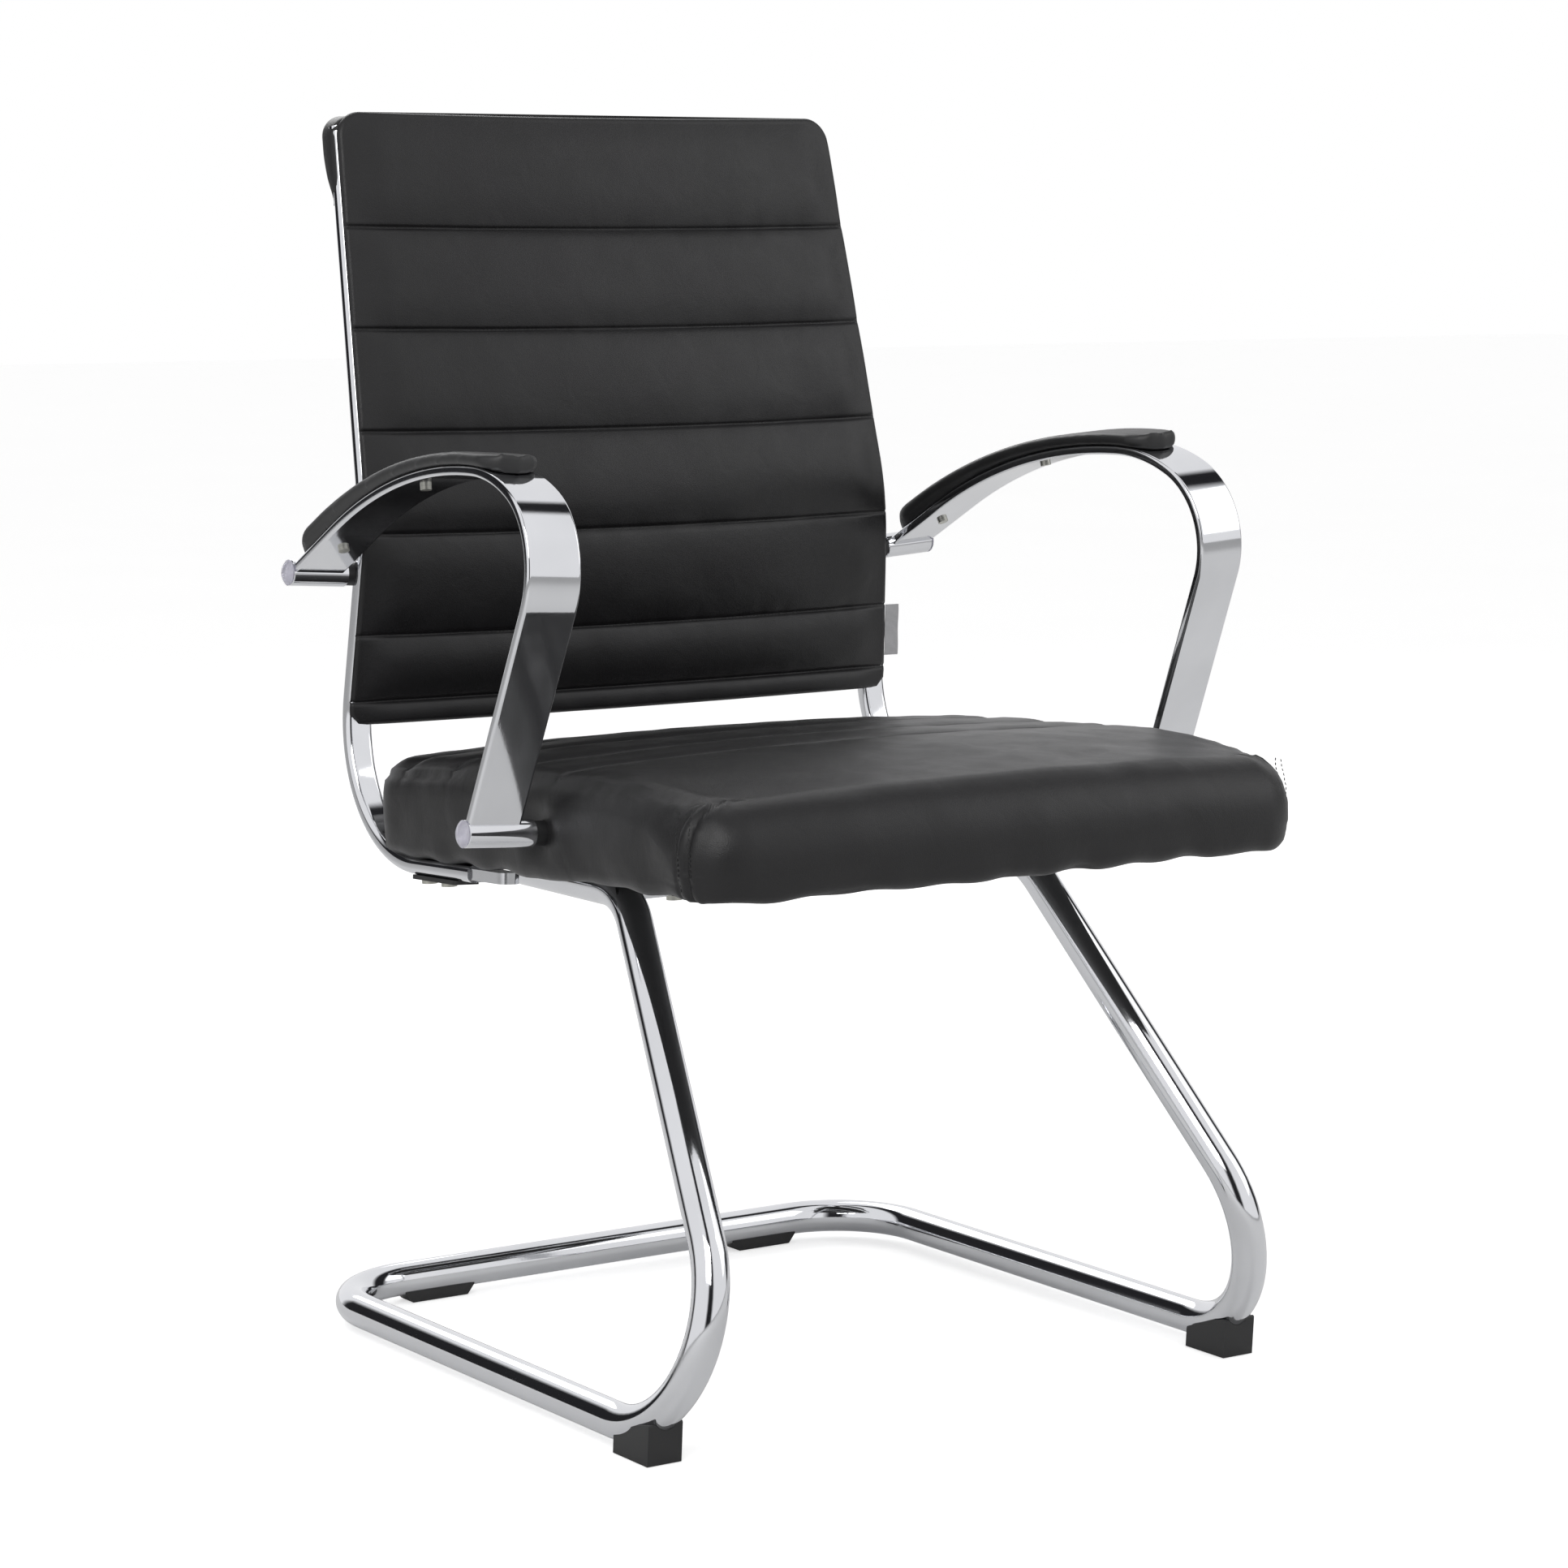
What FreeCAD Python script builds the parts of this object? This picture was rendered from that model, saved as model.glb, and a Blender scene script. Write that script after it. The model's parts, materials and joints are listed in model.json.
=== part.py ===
import FreeCAD, Part
import math
import os
import re
import Sketcher
from FreeCAD import Placement, Rotation, Vector

# Sled base visitor chair, in millimetres.
# The chair faces -Y, +Z is up, and the origin is on the floor under the middle of the chair.
# Left is the sitter's right side, at -X.

document = FreeCAD.newDocument("visitor_chair")
sheet = document.addObject("Spreadsheet::Sheet", "Sizes")

# Driving sizes: name, value, what it is.
SIZES = [
    # Sled base, bent from one round tube
    ("tube_od", 25.4, "outer diameter of the base tube"),
    ("tube_wall", 2.0, "wall of the base tube"),
    ("floor_gap", 4.9, "clear height under the floor rails"),
    ("floor_half_width", 249.4, "middle of the chair to the middle of a floor rail"),
    ("rear_tube_y", 263.7, "middle line of the rear floor tube"),
    ("rear_bend_r", 72.6, "bend of the rear floor corners"),
    ("front_corner_y", -335.2, "where the lines of floor rail and leg would meet"),
    ("front_bend_r", 83.4, "bend between floor rail and leg"),
    ("leg_lean", 39.7, "angle of a leg from upright, seen from the side"),
    ("leg_draw_in", 12.95, "angle of a leg from upright, seen from the front"),
    ("run_height", 356.3, "middle line of the tube under the seat"),
    ("run_end_y", 81.5, "rear end of the tube under the seat"),
    ("top_bend_r", 54.4, "bend between leg and seat run"),
    ("cap_dome", 5.0, "how far the end plugs stand out of the tube"),
    ("cap_depth", 18.0, "how far the end plugs reach into the tube"),
    ("fit_gap", 0.1, "clearance between pieces that are pushed or screwed together"),
    # Cross members under the seat
    ("cross_tube_od", 20.0, "diameter of the two cross tubes"),
    ("front_cross_y", -32.5, "front cross tube and bar"),
    ("rear_cross_y", 49.5, "rear cross tube and bar"),
    ("bar_width", 34.0, "width of the flat seat bars along Y"),
    ("bar_half_length", 196.0, "half length of the flat seat bars"),
    ("bar_depth", 8.0, "depth of the flat seat bars"),
    ("seat_bolt_x", 120.0, "seat bolts, from the middle of the chair"),
    ("seat_bolt_d", 6.0, "diameter of the seat and rail bolts"),
    ("spot_face", 0.6, "how far the seat bolts' heads are let into the cross tubes"),
    # Feet and glides
    ("foot_width", 27.0, "width of a front foot"),
    ("foot_front_y", -218.5, "front face of a front foot"),
    ("foot_rear_y", -173.5, "rear face of a front foot"),
    ("foot_front_height", 29.0, "height of a front foot at its front"),
    ("foot_rear_height", 15.0, "height of a front foot at its rear"),
    ("foot_inset", 2.6, "how far the front feet stand inside the floor rails"),
    ("glide_x", 149.0, "middle of a rear glide from the middle of the chair"),
    ("glide_base_length", 48.0, "length of a rear glide on the floor"),
    ("glide_top_length", 62.0, "length of a rear glide at its top"),
    ("glide_width", 18.0, "width of a rear glide"),
    ("glide_height", 9.0, "height of a rear glide before the tube is let in"),
    ("screw_d", 4.0, "diameter of the foot, glide and pad screws"),
    # Seat plane: the underside of the seat board, which rises towards the front
    ("seat_plane_z", 370.9, "height of the seat plane above the origin"),
    ("seat_tilt", 2.8, "tilt of the seat plane"),
    # Seat
    ("seat_half_width", 250.0, "half width of the seat at its widest"),
    ("seat_front_y", -277.5, "front of the seat at its corners"),
    ("seat_rear_y", 176.5, "rear of the seat"),
    ("seat_bow", 17.0, "rise of the two lines that the bowed front edge rounds off"),
    ("seat_corner_r", 38.0, "corner radius of the seat seen from above"),
    ("seat_top", 80.5, "height of the seat at its crest"),
    ("seat_crest_front_y", -157.5, "front end of the level part of the seat"),
    ("seat_crest_rear_y", 77.5, "rear end of the level part of the seat"),
    ("seat_crest_r", 900.0, "bend of the seat between its level part and its slopes"),
    ("seat_nose_slope", 8.1, "fall of the seat towards its front"),
    ("seat_rear_slope", 3.8, "fall of the seat towards its rear"),
    ("seat_crown_r", 4400.0, "radius of the seat's crown from side to side"),
    ("seat_shoulder_r", 26.0, "rounding of the seat's upper edges"),
    ("seat_roll_r", 8.0, "rounding of the seat's lower edges"),
    ("cover_thickness", 1.6, "leatherette with its backing"),
    ("cover_turn_in", 26.0, "how far the seat cover is turned in under the board"),
    ("soft_gap", 0.3, "room between foam and cover"),
    ("seat_board", 12.0, "plywood of the seat board"),
    ("board_inset", 9.0, "seat board inside the seat's outline"),
    ("channel_pitch", 70.0, "spacing of the seat's sewn channels"),
    ("channel_first_y", 127.5, "rearmost channel"),
    ("channel_count", 4, "number of sewn channels in the seat"),
    ("channel_width", 3.6, "width of the channels"),
    ("channel_depth", 2.2, "depth of the channels"),
    # Side rails that carry the back
    ("rail_width", 21.0, "width of the flat-oval rail along X"),
    ("rail_depth", 12.0, "depth of the flat-oval rail"),
    ("rail_corner_r", 4.6, "corner radius of the flat-oval rail"),
    ("rail_wall", 1.8, "wall of the flat-oval rail"),
    ("rail_x", 235.1, "middle of the chair to the middle of a rail at the seat"),
    ("rail_splay", 3.0, "how far the rails lean in towards their tops"),
    ("rail_top_z", 886.0, "top of the rails"),
    ("rail_waist_y", 212.2, "foremost point of the rails' bend at the waist"),
    ("rail_waist_z", 602.0, "height of the bend at the waist"),
    ("back_recline", 12.9, "recline of the back above the waist"),
    ("rail_lean", 5.7, "lean of the rails below the waist"),
    ("rail_waist_r", 200.0, "bend of the rails at the waist"),
    ("rail_seat_r", 102.0, "bend of the rails behind the seat"),
    ("rail_end_y", 38.5, "front end of the rails under the seat"),
    ("tip_length", 44.0, "length of the narrower tip in front of a rail"),
    ("tip_step", 2.0, "how much narrower the tip is all round"),
    ("rail_bolt_y1", 112.5, "rear bolt of a rail"),
    ("rail_bolt_y2", 84.5, "front bolt of a rail"),
    ("plate_length", 62.0, "length of the black plate under a rail"),
    ("plate_thickness", 3.0, "thickness of the black plate under a rail"),
    ("plate_back", 11.0, "middle of the plate in front of the middle of its two bolts"),
    # Back
    ("back_top_z", 897.0, "top of the back"),
    ("hem_z", 449.0, "lower edge of the back"),
    ("hem_height", 18.0, "height of the hem"),
    ("rib_pitch", 74.2, "height of a rib of the back"),
    ("rib_count", 6, "number of ribs of the back"),
    ("top_rib", 84.0, "top of the back down to the uppermost seam"),
    ("top_roll", 9.0, "height of the rounded top edge"),
    ("rib_bulge", 5.0, "how far each rib swells"),
    ("pad_middle", 12.5, "thickness of the front pad in the middle"),
    ("back_crown_r", 2600.0, "the crown of the back turns about a line this far behind the origin"),
    ("pad_side_gap", 1.0, "front pad inside the rails' outer faces"),
    ("back_corner_r", 18.0, "upper corners of the back"),
    ("back_board", 8.0, "plywood inside the back"),
    ("board_hem", 12.0, "back board above the hem"),
    ("fixing_thickness", 1.5, "steel lugs that hold the back board"),
    ("rear_cover", 2.0, "rear cover, leatherette on a stiff sheet"),
    ("rear_roll_z", 828.0, "height above which the rear cover wraps the rails"),
    ("tab_height", 41.0, "height of the bare sewn tab"),
    ("tab_width", 12.0, "how far the tab stands out"),
    ("tab_thickness", 0.8, "thickness of the tab"),
    ("tab_z", 475.0, "lower end of the tab"),
    ("tab_forward", 1.3, "tab in front of the rails' front faces"),
    # Arms: a flat bar bent in its own plane
    ("arm_x", 264.7, "middle of the chair to the middle of the bar at its rear end"),
    ("arm_rear_y", 224.8, "rear boss"),
    ("arm_rear_z", 563.0, "rear boss"),
    ("arm_toe", 3.05, "how far the arms spread towards the front"),
    ("arm_flare", 3.54, "how far the arms spread towards the bottom"),
    ("arm_width", 40.0, "width of the bar"),
    ("arm_thickness", 7.0, "thickness of the bar"),
    ("arm_edge_r", 2.2, "rounding of the bar's edges"),
    ("arm_slope", 28.0, "slope of the bar at its rear end"),
    ("arm_rise", 87.3, "rear boss to the middle line of the bar's top"),
    ("arm_front_y", -305.7, "rear boss to where top and front would meet"),
    ("arm_brow", 25.0, "first drop of the bar at the front"),
    ("arm_brow_reach", 86.2, "length of the dropping line"),
    ("arm_arch_r", 453.0, "bend of the top"),
    ("arm_brow_r", 123.0, "bend at the front of the top"),
    ("arm_front_r", 59.5, "bend of the front"),
    ("arm_leg_lean", 23.3, "angle of the front leg from upright"),
    ("arm_drop", 155.0, "rear boss down to the front boss"),
    ("boss_od", 19.0, "diameter of the bosses"),
    ("boss_length", 44.0, "length of the bosses"),
    ("boss_bore", 7.0, "bore of the bosses"),
    ("boss_sink", 9.0, "depth of the hollow for the bolt's head"),
    ("boss_sink_d", 11.0, "diameter of the hollow for the bolt's head"),
    ("cap_stem", 3.0, "depth of the clear caps' stems"),
    ("boss_cap_dome", 4.0, "height of the clear caps"),
    ("spacer_od", 17.0, "diameter of the black spacers"),
    ("spacer_reach", 22.0, "longest spacer before it is cut to what it meets"),
    ("arm_bolt_d", 6.0, "diameter of the arm bolts"),
    ("arm_bolt_rear", 55.0, "length of the rear arm bolts"),
    ("arm_bolt_front", 84.0, "length of the front arm bolts"),
    ("bracket_inset", 26.0, "steel angle inside the seat's side"),
    ("bracket_width", 50.0, "length of the steel angle along Y"),
    ("bracket_height", 34.0, "height of the steel angle"),
    ("bracket_thickness", 3.0, "thickness of the steel angle"),
    ("bracket_foot", 36.0, "foot of the steel angle on the board"),
    ("nut_wall", 1.5, "wall of the tee nuts in the board"),
    # Arm pads
    ("armpad_width", 45.0, "width of an arm pad"),
    ("armpad_back", -7.0, "rear end of a pad from the rear boss"),
    ("armpad_front", -342.0, "front end of a pad from the rear boss"),
    ("armpad_apex_y", -279.3, "highest point of a pad from the rear boss"),
    ("armpad_top_r", 520.0, "curve of the pads' top"),
    ("armpad_top", 11.4, "thickness of a pad at its highest point"),
    ("armpad_side", 10.5, "thickness of the pads' full width part"),
    ("armpad_lip", 3.0, "how much smaller the pads are where they meet the bar"),
    ("armpad_edge_r", 4.5, "rounding of the pads' upper edges"),
    ("pad_screw_rear", -46.0, "rear pad screw from the rear boss"),
    ("pad_screw_front", -174.0, "front pad screw from the rear boss"),
    ("pad_screw_grip", 7.0, "length of a pad screw in the pad"),
    ("pad_screw_head", 2.4, "height of a pad screw's head"),
]

for row, (name, value, meaning) in enumerate(SIZES, start=1):
    sheet.set(f"A{row}", name)
    sheet.set(f"B{row}", str(value))
    sheet.setAlias(f"B{row}", name)
    sheet.set(f"C{row}", meaning)
document.recompute()

NAMES = sorted((name for name, value, meaning in SIZES), key=len, reverse=True)
NAME_PATTERN = re.compile(r"\b(" + "|".join(NAMES) + r")\b")


def ref(text):
    """Expression with every size name pointing at the sheet."""
    return NAME_PATTERN.sub(r"Sizes.\1", text)


def num(text):
    """Present value of an expression of sizes."""
    result = sheet.evalExpression(ref(text))
    return float(getattr(result, "Value", result))


# Drawing helpers

def new_body(label):
    body = document.addObject("PartDesign::Body", label)
    body.Label = label
    return body


def new_sketch(body, name, role, shift=None):
    """Sketch on one of the body's own planes, moved along its normal by shift."""
    sketch = body.newObject("Sketcher::SketchObject", name)
    plane = [item for item in body.Origin.OriginFeatures if item.Role == role][0]
    sketch.AttachmentSupport = [(plane, "")]
    sketch.MapMode = "FlatFace"
    if shift is not None:
        sketch.setExpression("AttachmentOffset.Base.z", ref(shift))
    return sketch


def pin(sketch, index, position, x, y):
    """Fix one point of the sketch at x, y from its origin."""
    for kind, text in (("DistanceX", x), ("DistanceY", y)):
        number = sketch.addConstraint(Sketcher.Constraint(kind, -1, 1, index, position, num(text)))
        sketch.setExpression(f"Constraints[{number}]", ref(text))


def side(x, y, round_by=None, arc=None):
    """One corner of an outline. round_by rounds the corner, arc bends the side that follows."""
    return {"x": x, "y": y, "round": round_by, "arc": arc}


def arc_between(start, end, radius):
    """Arc from start to end. A positive radius turns left, a negative one turns right."""
    chord = end - start
    normal = Vector(-chord.y, chord.x, 0).normalize()
    height = math.sqrt(radius * radius - (chord.Length / 2) ** 2)
    centre = start + chord * 0.5 + normal * math.copysign(height, radius)
    first = math.atan2(start.y - centre.y, start.x - centre.x)
    last = math.atan2(end.y - centre.y, end.x - centre.x)
    circle = Part.Circle(centre, Vector(0, 0, 1), abs(radius))
    if radius > 0:
        return Part.ArcOfCircle(circle, first, last)
    return Part.ArcOfCircle(circle, last, first)


def outline(sketch, corners, closed=True):
    """Lines, rounded corners and arcs through the corners, each tied to the sheet."""
    count = len(corners)
    spots = [Vector(num(c["x"]), num(c["y"]), 0) for c in corners]
    entry = list(spots)
    leave = list(spots)
    for i, corner in enumerate(corners):
        if corner["round"] is None:
            continue
        before = (spots[i - 1] - spots[i]).normalize()
        after = (spots[(i + 1) % count] - spots[i]).normalize()
        reach = num(corner["round"]) / math.tan(before.getAngle(after) / 2)
        entry[i] = spots[i] + before * reach
        leave[i] = spots[i] + after * reach
    last_side = count if closed else count - 1
    sides = []
    for i in range(last_side):
        begin, end = leave[i], entry[(i + 1) % count]
        arc = corners[i]["arc"]
        if arc is None:
            geometry = sketch.addGeometry(Part.LineSegment(begin, end))
            sides.append((geometry, 1, 2))
            continue
        radius = num(arc)
        geometry = sketch.addGeometry(arc_between(begin, end, radius))
        number = sketch.addConstraint(Sketcher.Constraint("Radius", geometry, abs(radius)))
        sketch.setExpression(f"Constraints[{number}]", f"abs({ref(arc)})")
        sides.append((geometry, 1, 2) if radius > 0 else (geometry, 2, 1))
    for i, corner in enumerate(corners):
        x, y = corner["x"], corner["y"]
        following = sides[i] if i < last_side else None
        leading = sides[i - 1] if closed or i > 0 else None
        if corner["round"] is None:
            if following is not None:
                pin(sketch, following[0], following[1], x, y)
            else:
                pin(sketch, leading[0], leading[2], x, y)
            if leading is not None and following is not None:
                joint = (leading[0], leading[2], following[0], following[1])
                sketch.addConstraint(Sketcher.Constraint("Coincident", *joint))
            continue
        turn_left = (spots[i] - entry[i]).cross(leave[i] - spots[i]).z > 0
        radius = num(corner["round"])
        signed = radius if turn_left else -radius
        geometry = sketch.addGeometry(arc_between(entry[i], leave[i], signed))
        first, last = (1, 2) if turn_left else (2, 1)
        joint = (leading[0], leading[2], geometry, first)
        sketch.addConstraint(Sketcher.Constraint("Tangent", *joint))
        joint = (geometry, last, following[0], following[1])
        sketch.addConstraint(Sketcher.Constraint("Tangent", *joint))
        number = sketch.addConstraint(Sketcher.Constraint("Radius", geometry, radius))
        sketch.setExpression(f"Constraints[{number}]", ref(corner["round"]))
        point = sketch.addGeometry(Part.Point(spots[i]), True)
        sketch.addConstraint(Sketcher.Constraint("PointOnObject", point, 1, leading[0]))
        sketch.addConstraint(Sketcher.Constraint("PointOnObject", point, 1, following[0]))
        pin(sketch, point, 1, x, y)


def circle(sketch, x, y, diameter):
    """Circle at x, y, tied to the sheet."""
    shape = Part.Circle(Vector(num(x), num(y), 0), Vector(0, 0, 1), num(diameter) / 2)
    geometry = sketch.addGeometry(shape)
    pin(sketch, geometry, 3, x, y)
    number = sketch.addConstraint(Sketcher.Constraint("Diameter", geometry, num(diameter)))
    sketch.setExpression(f"Constraints[{number}]", ref(diameter))


def axis_line(sketch, start, end):
    """Construction line that a revolution turns about."""
    spots = [Vector(num(x), num(y), 0) for x, y in (start, end)]
    line = sketch.addGeometry(Part.LineSegment(*spots), True)
    pin(sketch, line, 1, *start)
    pin(sketch, line, 2, *end)


def pad(body, sketch, length, symmetric=False, reverse=False):
    feature = body.newObject("PartDesign::Pad", sketch.Name + "_pad")
    feature.Profile = sketch
    feature.setExpression("Length", ref(length))
    feature.Midplane = symmetric
    feature.Reversed = reverse
    document.recompute()
    return feature


def pocket(body, sketch, length="600", symmetric=True, reverse=False):
    before = body.Shape.Volume
    feature = body.newObject("PartDesign::Pocket", sketch.Name + "_cut")
    feature.Profile = sketch
    feature.setExpression("Length", ref(length))
    feature.Midplane = symmetric
    feature.Reversed = reverse
    document.recompute()
    if body.Shape.Volume >= before:
        raise ValueError(f"{body.Label}: {sketch.Name} cuts nothing")
    return feature


def pipe(body, profile, spine):
    feature = body.newObject("PartDesign::AdditivePipe", profile.Name + "_pipe")
    feature.Profile = profile
    feature.Spine = spine
    document.recompute()
    return feature


def revolve(body, sketch, axis, angle=None):
    """Turn the sketch all round, or by half an angle to each side."""
    feature = body.newObject("PartDesign::Revolution", sketch.Name + "_turn")
    feature.Profile = sketch
    feature.ReferenceAxis = (sketch, [axis])
    feature.Angle = 360
    if angle is not None:
        feature.Midplane = True
        feature.setExpression("Angle", ref(angle))
    document.recompute()
    return feature


def edge_middle(edge):
    return edge.valueAt((edge.FirstParameter + edge.LastParameter) / 2)


def lowest(edge):
    return min(vertex.Z for vertex in edge.Vertexes)


def highest(edge):
    return max(vertex.Z for vertex in edge.Vertexes)


def borders_wall(shape, edge, axis):
    """True where the edge borders a face that runs along the axis."""
    spot = edge_middle(edge)
    for face in shape.ancestorsOfType(edge, Part.Face):
        u, v = face.Surface.parameter(spot)
        if abs(face.normalAt(u, v).dot(axis)) < 0.5:
            return True
    return False


def fillet(body, radius, wanted):
    """Round the edges that the test picks."""
    base = body.Tip
    shape = base.Shape
    names = [f"Edge{number}" for number, edge in enumerate(shape.Edges, start=1) if wanted(shape, edge)]
    feature = body.newObject("PartDesign::Fillet", f"{body.Label}_fillet")
    feature.Base = (base, names)
    feature.setExpression("Radius", ref(radius))
    document.recompute()
    return feature


def feature_of(label, shape, placement=None):
    """Sub-part whose shape is worked out from the sheet by functions."""
    item = document.addObject("Part::Feature", label)
    item.Label = label
    item.Shape = shape
    if placement is not None:
        item.Placement = placement
    return item


def cut_of(label, base, tools):
    """Sub-part made by cutting others out of it."""
    result = base
    for count, tool in enumerate(tools, start=1):
        step = document.addObject("Part::Cut", f"{label}_step{count}")
        step.Base = result
        step.Tool = tool
        step.Refine = False
        result = step
    result.Label = label
    document.recompute()
    return result


NODES = []


def keep(item):
    """Mark a sub-part as one of the chair's pieces."""
    NODES.append(item)
    return item


# Sled base

TUBE_Z = "(floor_gap + tube_od / 2)"
LEG_RISE = f"(run_height - {TUBE_Z})"
RUN_X = f"(floor_half_width - {LEG_RISE} * tan(leg_draw_in))"
RUN_FRONT_Y = f"(front_corner_y + {LEG_RISE} * tan(leg_lean))"


def bent_wire(points, radii):
    """Straight runs through the points, joined by tangent arcs at the inner points."""
    edges = []
    start = points[0]
    for before, corner, after, radius in zip(points, points[1:], points[2:], radii):
        back = (before - corner).normalize()
        ahead = (after - corner).normalize()
        half = back.getAngle(ahead) / 2
        reach = radius / math.tan(half)
        middle = (back + ahead).normalize()
        entry = corner + back * reach
        leave = corner + ahead * reach
        top = corner + middle * (radius / math.sin(half) - radius)
        edges.append(Part.LineSegment(start, entry).toShape())
        edges.append(Part.Arc(entry, top, leave).toShape())
        start = leave
    edges.append(Part.LineSegment(start, points[-1]).toShape())
    return Part.Wire(edges)


def sled_wire():
    """Middle line of the base tube, from the left seat run round the floor to the right one."""
    floor_z = num(TUBE_Z)
    run_z = num("run_height")
    half = num("floor_half_width")
    run_x = num(RUN_X)
    points = []
    for hand in (-1, 1):
        part = [
            Vector(hand * run_x, num("run_end_y"), run_z),
            Vector(hand * run_x, num(RUN_FRONT_Y), run_z),
            Vector(hand * half, num("front_corner_y"), floor_z),
            Vector(hand * half, num("rear_tube_y"), floor_z),
        ]
        points += part if hand < 0 else part[::-1]
    bends = [num("top_bend_r"), num("front_bend_r"), num("rear_bend_r")]
    return bent_wire(points, bends + bends[::-1])


def swept_round(wire, diameter):
    """Round rod along a wire."""
    start = wire.Vertexes[0].Point
    ring = Part.makeCircle(diameter / 2, start, Vector(0, 1, 0))
    return wire.makePipeShell([Part.Wire([ring])], True, False)


def sled_solid(diameter):
    return swept_round(sled_wire(), diameter)


def make_sled():
    outer = sled_solid(num("tube_od"))
    inner = sled_solid(num("tube_od - 2 * tube_wall"))
    keep(feature_of("sled_base", outer.cut(inner)))
    return feature_of("sled_space", sled_solid(num("tube_od + 2 * fit_gap")))


def make_sled_caps():
    """Domed plugs in the rear ends of the seat runs."""
    for hand, side_name in ((-1, "left"), (1, "right")):
        body = new_body(f"sled_cap_{side_name}")
        sketch = new_sketch(body, f"sled_cap_{side_name}_half", "XY_Plane")
        bore = "(tube_od / 2 - tube_wall - fit_gap)"
        outline(sketch, [
            side("0", "-cap_depth"),
            side(bore, "-cap_depth"),
            side(bore, "0"),
            side("tube_od / 2", "0"),
            side("tube_od / 2", "1", arc="((tube_od / 2) ^ 2 + cap_dome ^ 2) / (2 * cap_dome)"),
            side("0", "1 + cap_dome"),
        ])
        revolve(body, sketch, "V_Axis")
        body.setExpression("Placement.Base.x", ref(f"{hand} * {RUN_X}"))
        body.setExpression("Placement.Base.y", ref("run_end_y"))
        body.setExpression("Placement.Base.z", ref("run_height"))
        keep(body)


# Cross members under the seat

def seat_placement():
    """Frame of the seat: its XY plane is the underside of the seat board."""
    return Placement(Vector(0, 0, num("seat_plane_z")), Rotation(Vector(1, 0, 0), -num("seat_tilt")))


def make_cross_members(sled_space, bolt_space):
    for end in ("front", "rear"):
        tube = new_body(f"{end}_cross_rod")
        sketch = new_sketch(tube, f"{end}_cross_ring", "YZ_Plane")
        circle(sketch, f"{end}_cross_y", "run_height", "cross_tube_od")
        circle(sketch, f"{end}_cross_y", "run_height", "cross_tube_od - 2 * tube_wall")
        pad(tube, sketch, f"2 * {RUN_X}", symmetric=True)
        tube_space = new_body(f"{end}_cross_space")
        space_sketch = new_sketch(tube_space, f"{end}_cross_disc", "YZ_Plane")
        circle(space_sketch, f"{end}_cross_y", "run_height", "cross_tube_od + 2 * fit_gap")
        pad(tube_space, space_sketch, f"2 * {RUN_X}", symmetric=True)
        keep(cut_of(f"{end}_cross_tube", tube, [sled_space, bolt_space]))

        bar = new_body(f"{end}_bar_blank")
        plan = new_sketch(bar, f"{end}_bar_plan", "XY_Plane")
        low, high = f"({end}_cross_y - bar_width / 2)", f"({end}_cross_y + bar_width / 2)"
        outline(plan, [
            side("-bar_half_length", low, "6"),
            side("bar_half_length", low, "6"),
            side("bar_half_length", high, "6"),
            side("-bar_half_length", high, "6"),
        ])
        pad(bar, plan, "bar_depth", reverse=True)
        bar.Placement = seat_placement()
        keep(cut_of(f"{end}_seat_bar", bar, [sled_space, tube_space, bolt_space]))


# Feet and glides

FOOT_SCREW_Y = "(foot_rear_y - 14)"


def make_feet(sled_space):
    for hand, side_name in ((-1, "left"), (1, "right")):
        block = new_body(f"foot_block_{side_name}")
        sketch = new_sketch(block, f"foot_side_{side_name}", "YZ_Plane")
        outline(sketch, [
            side("foot_front_y + 2", "0"),
            side("foot_rear_y", "0"),
            side("foot_rear_y - 1", "foot_rear_height", "2"),
            side("foot_front_y + 14", "foot_front_height - 3", "8"),
            side("foot_front_y", "foot_front_height", "1.5"),
        ])
        pad(block, sketch, "foot_width", symmetric=True)
        block.setExpression("Placement.Base.x", ref(f"{hand} * (floor_half_width - foot_inset)"))
        hole = new_body(f"foot_hole_{side_name}")
        ring = new_sketch(hole, f"foot_hole_ring_{side_name}", "XY_Plane")
        circle(ring, "0", FOOT_SCREW_Y, "screw_d + 0.2")
        pad(hole, ring, "60")
        hole.setExpression("Placement.Base.x", ref(f"{hand} * (floor_half_width - foot_inset)"))
        keep(cut_of(f"front_foot_{side_name}", block, [sled_space, hole]))


def make_glides(sled_space):
    for hand, side_name in ((-1, "left"), (1, "right")):
        block = new_body(f"glide_block_{side_name}")
        sketch = new_sketch(block, f"glide_front_{side_name}", "XZ_Plane")
        outline(sketch, [
            side("-glide_base_length / 2", "0", "1.5"),
            side("glide_base_length / 2", "0", "1.5"),
            side("glide_top_length / 2", "glide_height", "1"),
            side("-glide_top_length / 2", "glide_height", "1"),
        ])
        pad(block, sketch, "glide_width", symmetric=True)
        block.setExpression("Placement.Base.x", ref(f"{hand} * glide_x"))
        block.setExpression("Placement.Base.y", ref("rear_tube_y"))
        hole = new_body(f"glide_hole_{side_name}")
        ring = new_sketch(hole, f"glide_hole_ring_{side_name}", "XY_Plane")
        circle(ring, "0", "0", "screw_d + 0.2")
        pad(hole, ring, "60")
        hole.setExpression("Placement.Base.x", ref(f"{hand} * glide_x"))
        hole.setExpression("Placement.Base.y", ref("rear_tube_y"))
        keep(cut_of(f"rear_glide_{side_name}", block, [sled_space, hole]))


def rod(diameter, start, end):
    """Plain round bar from start to end."""
    axis = end - start
    return Part.makeCylinder(diameter / 2, axis.Length, start, axis)


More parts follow.
